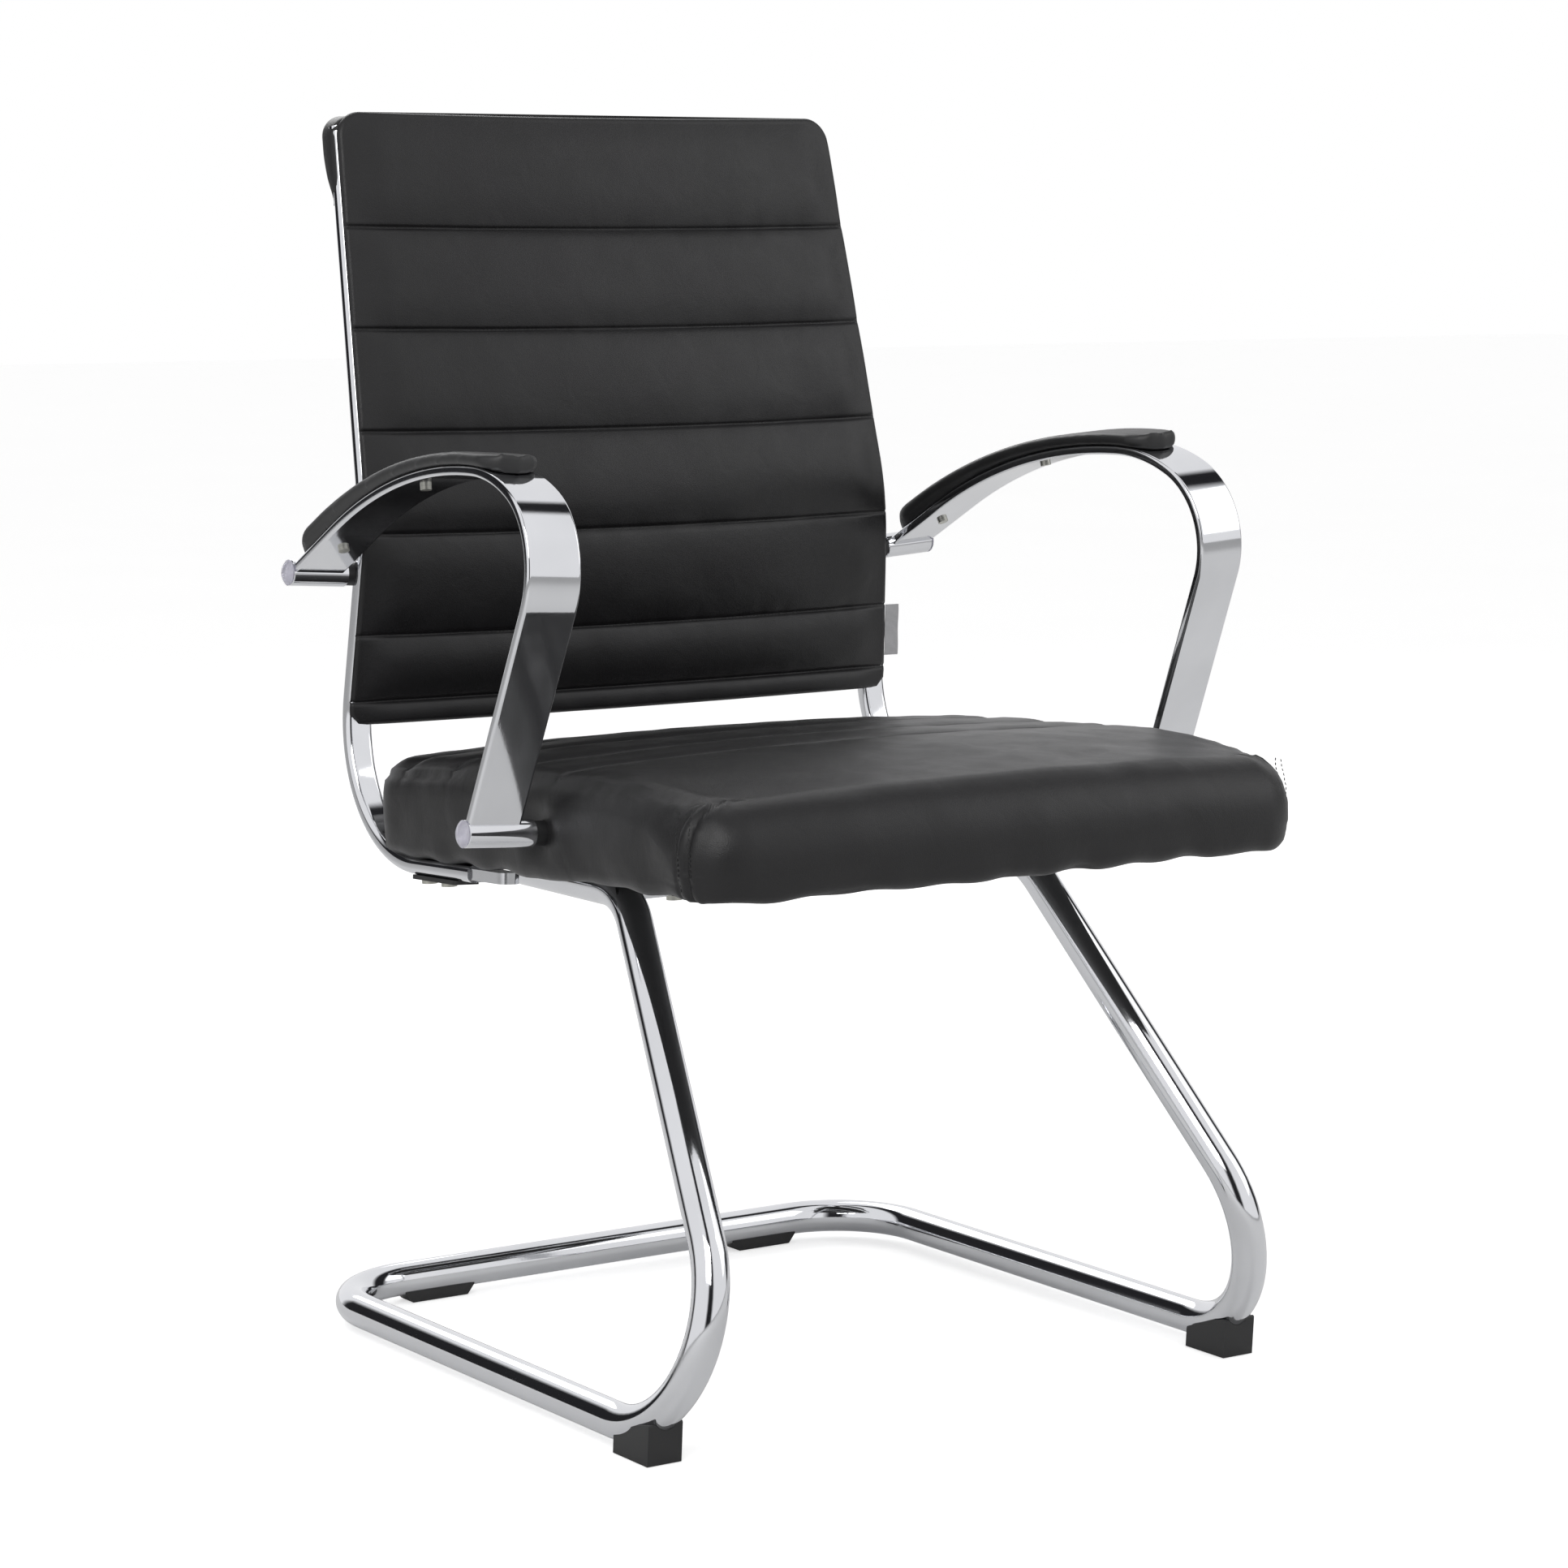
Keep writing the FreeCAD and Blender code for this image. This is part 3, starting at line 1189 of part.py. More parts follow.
def make_arm_pads():
    base = "(arm_thickness / 2 + fit_gap)"
    under = "(armpad_top_r - armpad_side)"
    overlap = "(armpad_top_r - armpad_side / 2)"
    lip_back = "(armpad_back - armpad_lip)"
    lip_front = "(armpad_front + armpad_lip)"
    for hand, side_name in HANDS:
        body = new_body(f"arm_pad_blank_{side_name}")
        upper = new_sketch(body, f"arm_pad_upper_{side_name}", "YZ_Plane")
        outline(upper, [
            side("armpad_back", arch_z("armpad_back", "armpad_top_r"), arc="armpad_top_r"),
            side("armpad_front", arch_z("armpad_front", "armpad_top_r")),
            side("armpad_front + 1", arch_z("(armpad_front + 1)", under), arc=f"-{under}"),
            side("armpad_back - 4", arch_z("(armpad_back - 4)", under)),
        ])
        pad(body, upper, "armpad_width", symmetric=True)
        fillet(body, "armpad_edge_r", lambda shape, edge: (
            on_pad_top(edge) and borders_wall(shape, edge, Vector(0, 0, 1))))
        lower = new_sketch(body, f"arm_pad_lower_{side_name}", "YZ_Plane")
        shelf = pad_base_line(base)
        outline(lower, [
            side(lip_back, f"-{lip_back} * tan(arm_slope) + {base} / cos(arm_slope)"),
            shelf[0],
            shelf[1],
            side(lip_front, f"arm_rise + ({lip_front} - arm_front_y) * tan(arm_brow) + {base} / cos(arm_brow)"),
            side(lip_front, arch_z(lip_front, overlap), arc=f"-{overlap}"),
            side(lip_back, arch_z(lip_back, overlap)),
        ])
        pad(body, lower, "armpad_width - 2 * armpad_lip", symmetric=True)
        body.Placement = arm_placement(hand)
        screws = feature_of(f"pad_screw_hole_{side_name}", pad_screw_shape("screw_d + 0.1"), arm_placement(hand))
        keep(cut_of(f"arm_pad_{side_name}", body, [screws]))


def on_pad_top(edge):
    """True for an edge of the pads' top surface."""
    spot = edge_middle(edge)
    return abs(spot.z - num(arch_z(str(spot.y), "armpad_top_r"))) < 0.05


def pad_screw_spots():
    """Points on the bar's middle line with the direction square to it."""
    slope = math.radians(num("arm_slope"))
    on_slope = Vector(0, num("pad_screw_rear"), -num("pad_screw_rear") * math.tan(slope))
    spots = [(on_slope, Vector(0, math.sin(slope), math.cos(slope)))]
    radius = num("arm_arch_r")
    middle = Vector(0, num(ARM_TOP_Y) - radius * math.tan(slope / 2), num("arm_rise") - radius)
    angle = math.asin((num("pad_screw_front") - middle.y) / radius)
    square = Vector(0, math.sin(angle), math.cos(angle))
    spots.append((middle + square * radius, square))
    return spots


def pad_screw_shape(diameter, head=None):
    """Pan head screws from under the bar up into the pad."""
    screws = []
    reach = num("arm_thickness / 2")
    for spot, square in pad_screw_spots():
        screw = rod(num(diameter), spot - square * reach, spot + square * (reach + num("pad_screw_grip")))
        if head is not None:
            low = spot - square * (reach + num("pad_screw_head"))
            screw = screw.fuse(rod(num(head), low, spot - square * reach)).removeSplitter()
        screws.append(screw)
    return Part.makeCompound(screws)


def make_pad_screws():
    screws = []
    for hand, side_name in HANDS:
        group = pad_screw_shape("screw_d", "2 * screw_d")
        group.Placement = arm_placement(hand)
        screws += group.Solids
    keep(feature_of("pad_screws", Part.makeCompound(screws)))


# Fixings in the seat

def make_brackets(bolt_space):
    """Steel angles on the board that take the front arm bolts."""
    brackets = []
    to_seat = seat_placement().inverse()
    for hand, side_name in HANDS:
        spot = to_seat.multVec(arm_placement(hand, FRONT_BOSS_Y, "-arm_drop").Base)
        body = new_body(f"arm_bracket_blank_{side_name}")
        sketch = new_sketch(body, f"arm_bracket_side_{side_name}", "XZ_Plane")
        face = "(seat_half_width - bracket_inset)"
        corners = [
            side(f"{face}", BOARD_TOP),
            side(f"{face}", f"{BOARD_TOP} + bracket_height"),
            side(f"{face} - bracket_thickness", f"{BOARD_TOP} + bracket_height"),
            side(f"{face} - bracket_thickness", f"{BOARD_TOP} + bracket_thickness", "1.5"),
            side(f"{face} - bracket_foot", f"{BOARD_TOP} + bracket_thickness"),
            side(f"{face} - bracket_foot", BOARD_TOP),
        ]
        if hand < 0:
            for corner in corners:
                corner["x"] = f"-({corner['x']})"
        outline(sketch, corners)
        pad(body, sketch, "bracket_width", symmetric=True)
        body.Placement = seat_placement().multiply(Placement(Vector(0, spot.y, 0), Rotation()))
        brackets.append(keep(cut_of(f"arm_bracket_{side_name}", body, [bolt_space])))
    return brackets


def upright_spots():
    """Seat bolts, then rail bolts: x, y and the level under the seat plane where each head starts."""
    to_seat = seat_placement().inverse()
    seat = []
    for end in ("front", "rear"):
        axis = to_seat.multVec(Vector(0, num(f"{end}_cross_y"), num("run_height")))
        level = num("cross_tube_od / 2 - spot_face") - axis.z
        seat += [(hand * num("seat_bolt_x"), axis.y, level) for hand in (-1, 1)]
    rail = []
    level = num(f"rail_depth + plate_thickness + {RAIL_SINK}")
    for hand in (-1, 1):
        rail += [(hand * num("rail_x"), num(f"rail_bolt_y{number}"), level) for number in (1, 2)]
    return seat, rail


def make_upright_bolts():
    """Seat bolts, rail bolts and their tee nuts. Returns the room that they need."""
    frame = seat_placement()
    diameter = num("seat_bolt_d")
    head = 1.9 * diameter
    gap = 2 * num("fit_gap")
    nut_low = num("cover_thickness + 1")
    board_top = num(BOARD_TOP)
    nut_d = diameter + 2 * num("nut_wall")
    nuts, spaces = [], []
    for name, spots in zip(("seat_bolts", "rail_bolts"), upright_spots()):
        bolts = []
        for x, y, level in spots:
            under = Vector(x, y, -level)
            shank = rod(diameter, under, Vector(x, y, board_top - 1))
            bolts.append(shank.fuse(rod(head, under - Vector(0, 0, 0.55 * diameter), under)).removeSplitter())
            low, high = Vector(x, y, nut_low), Vector(x, y, board_top)
            nuts.append(rod(nut_d, low, high).cut(rod(diameter + gap, low, high)))
            spaces.append(rod(nut_d + gap, low, high + Vector(0, 0, 1)))
            spaces.append(rod(diameter + gap, under - Vector(0, 0, 1), low + Vector(0, 0, 1)))
            spaces.append(rod(head + gap, under - Vector(0, 0, 20), under))
        keep(feature_of(name, Part.makeCompound(bolts), frame))
    keep(feature_of("tee_nuts", Part.makeCompound(nuts), frame))
    return feature_of("bolt_space", spaces[0].multiFuse(spaces[1:]), frame)


arm_bolt_space = make_arm_bolts()
bolt_space = make_upright_bolts()
sled_space = make_sled()
make_sled_caps()
make_cross_members(sled_space, bolt_space)
make_feet(sled_space)
make_glides(sled_space)
make_foot_screws(sled_space)
rail_spaces = make_rails(arm_bolt_space, bolt_space)
brackets = make_brackets(arm_bolt_space)
make_seat(bolt_space, brackets, arm_bolt_space)
make_back(rail_spaces)
make_side_tab()
make_arm_bars()
make_arm_pads()
make_pad_screws()
seat_edge = seat_block("seat_edge_space", "(0 - fit_gap)", "0", None)
seat_edge.Placement = seat_placement()
make_bosses({
    ("rear", -1): rail_spaces[0],
    ("rear", 1): rail_spaces[1],
    ("front", -1): seat_edge,
    ("front", 1): seat_edge,
})

document.recompute()
failed = []
for item in document.Objects:
    if "Invalid" in item.State or "Error" in item.State:
        failed.append(item.Name)
for item in NODES:
    if item.Shape.isNull() or not item.Shape.isValid():
        failed.append(item.Label)
if failed:
    raise ValueError("failed: " + ", ".join(failed))

os.makedirs("parts", exist_ok=True)
for item in NODES:
    item.Shape.exportStep(f"parts/{item.Label}.step")
    box = item.Shape.BoundBox
    print(f"{item.Label:24s} {len(item.Shape.Solids)} solids, {item.Shape.Volume:12.0f} mm3,"
          f" x {box.XMin:7.1f} {box.XMax:7.1f} y {box.YMin:7.1f} {box.YMax:7.1f} z {box.ZMin:7.1f} {box.ZMax:7.1f}")
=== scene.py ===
import json
import math

import bpy
from mathutils import Matrix, Vector, noise


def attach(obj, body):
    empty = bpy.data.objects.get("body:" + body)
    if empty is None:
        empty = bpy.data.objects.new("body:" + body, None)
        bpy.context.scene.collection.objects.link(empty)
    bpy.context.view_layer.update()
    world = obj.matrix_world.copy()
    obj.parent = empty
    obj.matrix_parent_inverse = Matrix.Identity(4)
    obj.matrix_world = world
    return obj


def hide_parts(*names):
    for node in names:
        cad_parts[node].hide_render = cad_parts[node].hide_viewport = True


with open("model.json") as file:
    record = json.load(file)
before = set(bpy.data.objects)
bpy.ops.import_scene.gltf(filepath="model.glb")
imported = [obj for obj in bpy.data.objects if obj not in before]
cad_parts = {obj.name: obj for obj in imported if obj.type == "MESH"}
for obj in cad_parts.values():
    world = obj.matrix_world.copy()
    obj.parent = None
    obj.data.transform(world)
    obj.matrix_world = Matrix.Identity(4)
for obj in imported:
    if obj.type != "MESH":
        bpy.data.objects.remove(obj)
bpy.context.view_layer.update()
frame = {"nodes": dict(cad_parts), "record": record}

bl_info = {
    "name": "Sled Base Visitor Chair",
    "version": (1, 0, 0),
    "blender": (4, 5, 0),
    "location": "View3D > Sidebar > Visitor Chair",
    "description": "Dresses the visitor chair: polished tube, channelled seat, ribbed back and padded arms",
    "category": "Add Mesh",
}

# All lengths below are in metres. Left is the side at -X, and the chair faces -Y.
HANDS = ((-1, "left"), (1, "right"))

# Sizes shared with the solids
TUBE_R = 0.0127
FLOOR_TUBE_Z = 0.0176
RUN_Z = 0.3563
SEAT_PLANE_Z = 0.3709
SEAT_TILT = math.radians(2.8)
SEAT_HALF = 0.250
SEAT_FRONT = -0.2775
SEAT_REAR = 0.1765
SEAT_TOP = 0.0805
RAIL_SPLAY = math.radians(3.0)
RAIL_X = 0.2351
RAIL_WIDTH = 0.021
RAIL_DEPTH = 0.012
RAIL_SINK = 0.0003
WAIST_Y = 0.2122
WAIST_Z = 0.602
RAIL_END_Y = 0.0385
RECLINE = math.radians(12.9)
LOW_LEAN = math.radians(5.7)
BACK_TOP = 0.897
HEM_Z = 0.449
ARM_BAR = 0.040
ARM_THICK = 0.007
ARM_RISE = 0.0873
ARM_DROP = 0.155
ARM_SLOPE = math.radians(28.0)
ARM_BROW = math.radians(25.0)
ARM_LEAN = math.radians(23.3)
ARM_FRONT_Y = -0.3057
ARM_BROW_RUN = 0.0862
BOSS_R = 0.0095
SLED_HALF = 0.2494
SLED_CORNER_Y = -0.3352
SLED_REAR_Y = 0.2637
SLED_END_Y = 0.0815
SLED_SPREAD = math.radians(12.95)
SLED_RAKE = math.radians(39.7)
RAIL_TOP = 0.886

# Middle radii of the bends, in order along each bar
SLED_BENDS = [0.0544, 0.0834, 0.0726]
RAIL_BENDS = [0.200, 0.102]
ARM_BENDS = [0.453, 0.123, 0.0595]

# Sizes of the dressing alone
BOSS_OUTER = 0.020
REAR_BOSS_INNER = -0.024
FRONT_BOSS_INNER = -0.0315
CAP_DOME = 0.004
PAD_SHORTER = 0.031
PAD_THINNER = 0.002
CLOTH_THICK = 0.0006
TAB_LOW = 0.4755
TAB_TALL = 0.0405
TAB_OUT = 0.0120
RIB_SWELL = 0.0052


# Small helpers for shapes

def deselect():
    """Nothing selected and nothing in edit mode."""
    if bpy.context.object and bpy.context.object.mode != "OBJECT":
        bpy.ops.object.mode_set(mode="OBJECT")
    bpy.ops.object.select_all(action="DESELECT")


def pick(piece):
    """Make a piece the only selected and active one."""
    deselect()
    piece.select_set(True)
    bpy.context.view_layer.objects.active = piece


def settle(piece, place=None):
    """Bake a piece's place into its mesh, so its object stands at the origin."""
    matrix = place @ piece.matrix_world if place is not None else piece.matrix_world
    piece.data.transform(matrix)
    piece.matrix_world = Matrix.Identity(4)


def face_outwards(piece):
    """Merge doubles and turn all faces outwards."""
    pick(piece)
    bpy.ops.object.mode_set(mode="EDIT")
    bpy.ops.mesh.select_all(action="SELECT")
    bpy.ops.mesh.remove_doubles(threshold=0.00001)
    bpy.ops.mesh.normals_make_consistent(inside=False)
    bpy.ops.object.mode_set(mode="OBJECT")


def smooth(piece, angle=35):
    pick(piece)
    bpy.ops.object.shade_smooth_by_angle(angle=math.radians(angle))


def mesh_of(name, spots, faces):
    """New object from its corners and faces."""
    data = bpy.data.meshes.new(name)
    data.from_pydata(spots, [], faces)
    data.update()
    piece = bpy.data.objects.new(name, data)
    bpy.context.scene.collection.objects.link(piece)
    return piece


def shade_soft(piece):
    """Smooth shading over the whole piece, seams and all."""
    for polygon in piece.data.polygons:
        polygon.use_smooth = True


def apply(piece, kind, **values):
    """Add one modifier with its settings, and apply it."""
    modifier = piece.modifiers.new(kind.lower(), kind)
    for name, value in values.items():
        setattr(modifier, name, value)
    pick(piece)
    bpy.ops.object.modifier_apply(modifier=modifier.name)


def grid_faces(rows, wide):
    """Quads of a grid with this many rows, each with this many corners."""
    return [(a, a + 1, a + wide + 1, a + wide)
            for r in range(rows - 1) for a in range(r * wide, r * wide + wide - 1)]


def grid_rim(rows, wide):
    """Corners round the edge of such a grid, in order."""
    last = (rows - 1) * wide
    loop = list(range(wide)) + [r * wide + wide - 1 for r in range(1, rows)]
    return loop + [last + c for c in range(wide - 2, -1, -1)] + [r * wide for r in range(rows - 2, 0, -1)]


def ways_out(edge, up):
    """Directions out of a closed line of spots, square to up."""
    return [(edge[(k + 1) % len(edge)] - edge[k - 1]).cross(up).normalized() for k in range(len(edge))]


def ring_walls(loop, start, rings):
    """Quads from a loop through rings of new corners, the first at start. Gives the last ring as well."""
    count = len(loop)
    faces, before = [], loop
    for ring in range(rings):
        now = range(start + ring * count, start + (ring + 1) * count)
        faces += [(before[k], now[k], now[(k + 1) % count], before[(k + 1) % count]) for k in range(count)]
        before = now
    return faces, before


def finish_piece(piece, slot, stands_for=(), finish=None):
    """Give a piece its material, the body it rides on and the nodes that it stands for."""
    piece.data.materials.clear()
    piece.data.materials.append(FINISHES[finish or slot])
    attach(piece, "root")
    if stands_for:
        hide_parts(*stands_for)
    return piece


def round_section(sides, radius):
    """Outline of a round bar, in its own plane."""
    angles = [2 * math.pi * i / sides for i in range(sides)]
    return [Vector((radius * math.cos(angle), radius * math.sin(angle), 0)) for angle in angles]


def flat_section(half_w, half_d, corner, steps):
    """Outline of a flat bar with rounded corners, in its own plane."""
    spots = []
    for turn, (sx, sy) in enumerate(((1, 1), (-1, 1), (-1, -1), (1, -1))):
        for step in range(steps + 1):
            angle = math.pi / 2 * (turn + step / steps)
            spots.append(Vector((sx * (half_w - corner) + corner * math.cos(angle),
                                 sy * (half_d - corner) + corner * math.sin(angle), 0)))
    return spots


def bent_bar(name, section, points, radii, steps=28):
    """Bar of the given section, extruded along the runs and spun round the bends. Its X is the chair's."""
    across = Vector((1, 0, 0))
    ahead = (points[1] - points[0]).normalized()
    side = (across - ahead * across.dot(ahead)).normalized()
    frame_in = Matrix((side, ahead.cross(side), ahead)).transposed().to_4x4()
    frame_in.translation = points[0]
    deselect()
    bpy.ops.mesh.primitive_circle_add(vertices=len(section), radius=1, fill_type="NGON")
    piece = bpy.context.object
    piece.name = name
    for vertex, spot in zip(piece.data.vertices, section):
        vertex.co = frame_in @ spot
    bpy.ops.object.mode_set(mode="EDIT")
    bpy.ops.mesh.select_all(action="SELECT")
    here = points[0]
    for before, corner, after, radius in zip(points, points[1:], points[2:], radii):
        back = (before - corner).normalized()
        on = (after - corner).normalized()
        half = back.angle(on) / 2
        entry = corner + back * (radius / math.tan(half))
        centre = corner + (back + on).normalized() * (radius / math.sin(half))
        # Spin turns the other way round its axis when it runs without a window
        axis = back.cross(on).normalized()
        bpy.ops.mesh.extrude_region_move(TRANSFORM_OT_translate={"value": entry - here})
        bpy.ops.mesh.spin(steps=steps, angle=math.pi - 2 * half, center=centre, axis=axis)
        here = corner + on * (radius / math.tan(half))
    bpy.ops.mesh.extrude_region_move(TRANSFORM_OT_translate={"value": points[-1] - here})
    bpy.ops.object.mode_set(mode="OBJECT")
    face_outwards(piece)
    smooth(piece, 40)
    apply(piece, "WEIGHTED_NORMAL", keep_sharp=True)
    return piece


def turned(name, profile, sides=64):
    """Round piece about Z, from its outline of (height, radius). It is closed at both ends."""
    deselect()
    height, radius = profile[0]
    bpy.ops.mesh.primitive_circle_add(vertices=sides, radius=radius, location=(0, 0, height),
                                      fill_type="NGON")
    piece = bpy.context.object
    piece.name = name
    settle(piece)
    bpy.ops.object.mode_set(mode="EDIT")
    bpy.ops.mesh.select_all(action="SELECT")
    for (z0, r0), (z1, r1) in zip(profile, profile[1:]):
        bpy.ops.mesh.extrude_region_move(TRANSFORM_OT_translate={"value": (0, 0, z1 - z0)})
        ratio = max(r1, 0.00005) / max(r0, 0.00005)
        bpy.ops.transform.resize(value=(ratio, ratio, 1), center_override=(0, 0, z1))
    bpy.ops.object.mode_set(mode="OBJECT")
    face_outwards(piece)
    smooth(piece, 30)
    return piece


def seat_frame():
    """Frame of the seat: its XY plane is the underside of the seat board."""
    return Matrix.Translation((0, 0, SEAT_PLANE_Z)) @ Matrix.Rotation(-SEAT_TILT, 4, "X")


def rail_frame(hand):
    """Frame of one rail: its YZ plane leans in with the rail's splay."""
    place = Matrix.Translation((hand * RAIL_X, 0, SEAT_PLANE_Z - RAIL_SINK))
    return place @ Matrix.Rotation(-hand * RAIL_SPLAY, 4, "Y")


def arm_frame(hand):
    toe = Matrix.Rotation(hand * math.radians(3.05), 4, "Z")
    flare = Matrix.Rotation(-hand * math.radians(3.54), 4, "Y")
    return Matrix.Translation((hand * 0.2647, 0.2248, 0.563)) @ toe @ flare


# Materials

def linear(code):
    """sRGB hex to a linear colour."""
    parts = [int(code[i:i + 2], 16) / 255 for i in (1, 3, 5)]
    return tuple(c / 12.92 if c <= 0.04045 else ((c + 0.055) / 1.055) ** 2.4 for c in parts) + (1.0,)


def add(tree, kind, links=None, **values):
    """Add one shader node. links fills its sockets, with values or with other nodes' outputs."""
    made = tree.nodes.new(kind)
    for name, value in values.items():
        setattr(made, name, value)
    fill(tree, made, links or {})
    return made


def fill(tree, node, links):
    """Fill a shader node's sockets with values or with other nodes' outputs."""
    for name, value in links.items():
        if isinstance(value, bpy.types.NodeSocket):
            tree.links.new(value, node.inputs[name])
        else:
            node.inputs[name].default_value = value


def blotches(tree, spot, size, detail, **values):
    """Noise whose features are size metres wide."""
    links = {"Vector": spot, "Scale": wave_count(size), "Detail": detail}
    return add(tree, "ShaderNodeTexNoise", {**links, **values}).outputs["Fac"]


def sums(tree, kind, *values):
    """Output of one sum on numbers or sockets."""
    return add(tree, "ShaderNodeMath", dict(enumerate(values)), operation=kind).outputs[0]


def bumps(tree, height, strength, depth, **values):
    """Normal of a surface with this height of bump, in metres."""
    links = {"Height": height, "Strength": strength, "Distance": depth}
    return add(tree, "ShaderNodeBump", {**links, **values}).outputs[0]


def new_material(name):
    """Empty material. Gives its tree, its principled shader and the object's coordinates."""
    material = bpy.data.materials.new(name)
    material.use_nodes = True
    tree = material.node_tree
    shader = tree.nodes["Principled BSDF"]
    spot = add(tree, "ShaderNodeTexCoord").outputs["Object"]
    return material, tree, shader, spot


def shades(tree, factor, low, high):
    """Colour that runs between two hex colours with a factor."""
    ramp = add(tree, "ShaderNodeValToRGB", {"Fac": factor})
    ramp.color_ramp.elements[0].color = linear(low)
    ramp.color_ramp.elements[1].color = linear(high)
    return ramp.outputs["Color"]


def between(tree, factor, low, high):
    """Number that runs between two limits with a factor from 0 to 1."""
    return add(tree, "ShaderNodeMapRange", {"Value": factor, "To Min": low, "To Max": high}).outputs["Result"]


def wave_count(size):
    """Noise or cell scale whose features are size metres wide."""
    return 1.0 / size


def bright_chrome(colour):
    """Bright chromium over polished nickel: mirror like, with polishing haze and a few dull specks."""
    material, tree, shader, spot = new_material("bright_chrome_plate")
    haze = blotches(tree, spot, 0.060, 3.0)
    specks = blotches(tree, spot, 0.0016, 2.0)
    stretch = add(tree, "ShaderNodeMapping", {"Vector": spot, "Scale": (1.0, 1.0, 0.12)})
    buffing = blotches(tree, stretch.outputs[0], 0.0012, 2.0)
    fill(tree, shader, {
        "Base Color": shades(tree, haze, colour, "#E6E7EA"),
        "Roughness": sums(tree, "ADD", between(tree, haze, 0.035, 0.085), between(tree, specks, 0.0, 0.03)),
        "Normal": bumps(tree, buffing, 0.04, 0.0002),
        "Metallic": 1.0,
    })
    return material


def soft_leatherette(colour, grain):
    """Coated PU leatherette: fine pebble grain, soft satin sheen and slightly paler worn high spots."""
    material, tree, shader, spot = new_material("pu_leatherette")
    # The real grain is under a millimetre and is drawn a little coarser to show
    cells = add(tree, "ShaderNodeTexVoronoi", {"Vector": spot, "Scale": wave_count(grain), "Randomness": 1.0},
                feature="DISTANCE_TO_EDGE")
    pores = blotches(tree, spot, grain * 0.45, 4.0)
    creases = blotches(tree, spot, 0.022, 5.0, Distortion=0.7)
    cloudy = blotches(tree, spot, 0.11, 3.0)
    fine = bumps(tree, sums(tree, "ADD", cells.outputs["Distance"], pores), 0.32, 0.00035)
    fill(tree, shader, {
        "Base Color": shades(tree, cloudy, colour, "#171618"),
        "Roughness": between(tree, creases, 0.34, 0.48),
        "Normal": bumps(tree, creases, 0.25, 0.0016, Normal=fine),
        "IOR": 1.5,
        "Specular IOR Level": 0.40,
        "Sheen Weight": 0.03,
        "Sheen Roughness": 0.4,
    })
    return material


def moulded(name, low, high, grain, rough, depth=0.0002):
    """Moulded black plastic or rubber: an even spark eroded grain."""
    material, tree, shader, spot = new_material(name)
    flow = blotches(tree, spot, 0.03, 2.0)
    fill(tree, shader, {
        "Base Color": shades(tree, flow, low, high),
        "Roughness": between(tree, flow, rough - 0.06, rough + 0.06),
        "Normal": bumps(tree, blotches(tree, spot, grain, 4.0), 0.3, depth),
    })
    return material


def clear_acrylic():
    """Clear acrylic cap: lets light through, with a faint violet cast and fine scuffs."""
    material, tree, shader, spot = new_material("clear_acrylic")
    scuffs = blotches(tree, spot, 0.0025, 3.0)
    fill(tree, shader, {
        "Base Color": shades(tree, scuffs, "#DAD8E8", "#F4F3FA"),
        "Roughness": between(tree, scuffs, 0.03, 0.16),
        "IOR": 1.49,
        "Transmission Weight": 0.55,
    })
    return material


def zinc_plate():
    """Bright zinc on steel screws: grey with a faint warm cast in patches."""
    material, tree, shader, spot = new_material("zinc_plated_steel")
    patches = blotches(tree, spot, 0.004, 4.0)
    fill(tree, shader, {
        "Base Color": shades(tree, patches, "#A7A8A4", "#C9C7BC"),
        "Roughness": between(tree, patches, 0.25, 0.45),
        "Metallic": 1.0,
    })
    return material


def plywood():
    """Birch plywood: 1.4 mm veneers stacked along Z, with grain along X."""
    material, tree, shader, spot = new_material("birch_plywood")
    # A wave texture shows its scale 20 / (2 pi) times over in one metre
    pitch = 2 * math.pi / 0.0028 / 20
    bands = add(tree, "ShaderNodeTexWave", {"Vector": spot, "Scale": pitch, "Distortion": 0.4},
                bands_direction="Z")
    stretch = add(tree, "ShaderNodeMapping", {"Vector": spot, "Scale": (0.08, 1.0, 1.0)})
    fibre = blotches(tree, stretch.outputs[0], 0.002, 6.0)
    mix = sums(tree, "MULTIPLY", bands.outputs["Fac"], fibre)
    fill(tree, shader, {
        "Base Color": shades(tree, mix, "#A97F50", "#E0C08C"),
        "Roughness": between(tree, fibre, 0.55, 0.75),
    })
    return material


def spun_cloth(name, low, high, pitch):
    """Thin non-woven or woven cloth: rows of small bonded dots, fully matt."""
    material, tree, shader, spot = new_material(name)
    dots = add(tree, "ShaderNodeTexVoronoi", {"Vector": spot, "Scale": wave_count(pitch), "Randomness": 0.15})
    height = dots.outputs["Distance"]
    tone = sums(tree, "MULTIPLY", height, blotches(tree, spot, pitch * 0.5, 5.0))
    fill(tree, shader, {
        "Base Color": shades(tree, tone, low, high),
        "Normal": bumps(tree, height, 0.5, 0.0003),
        "Roughness": 0.85,
        "Sheen Weight": 0.2,
    })
    return material


FINISHES = {}


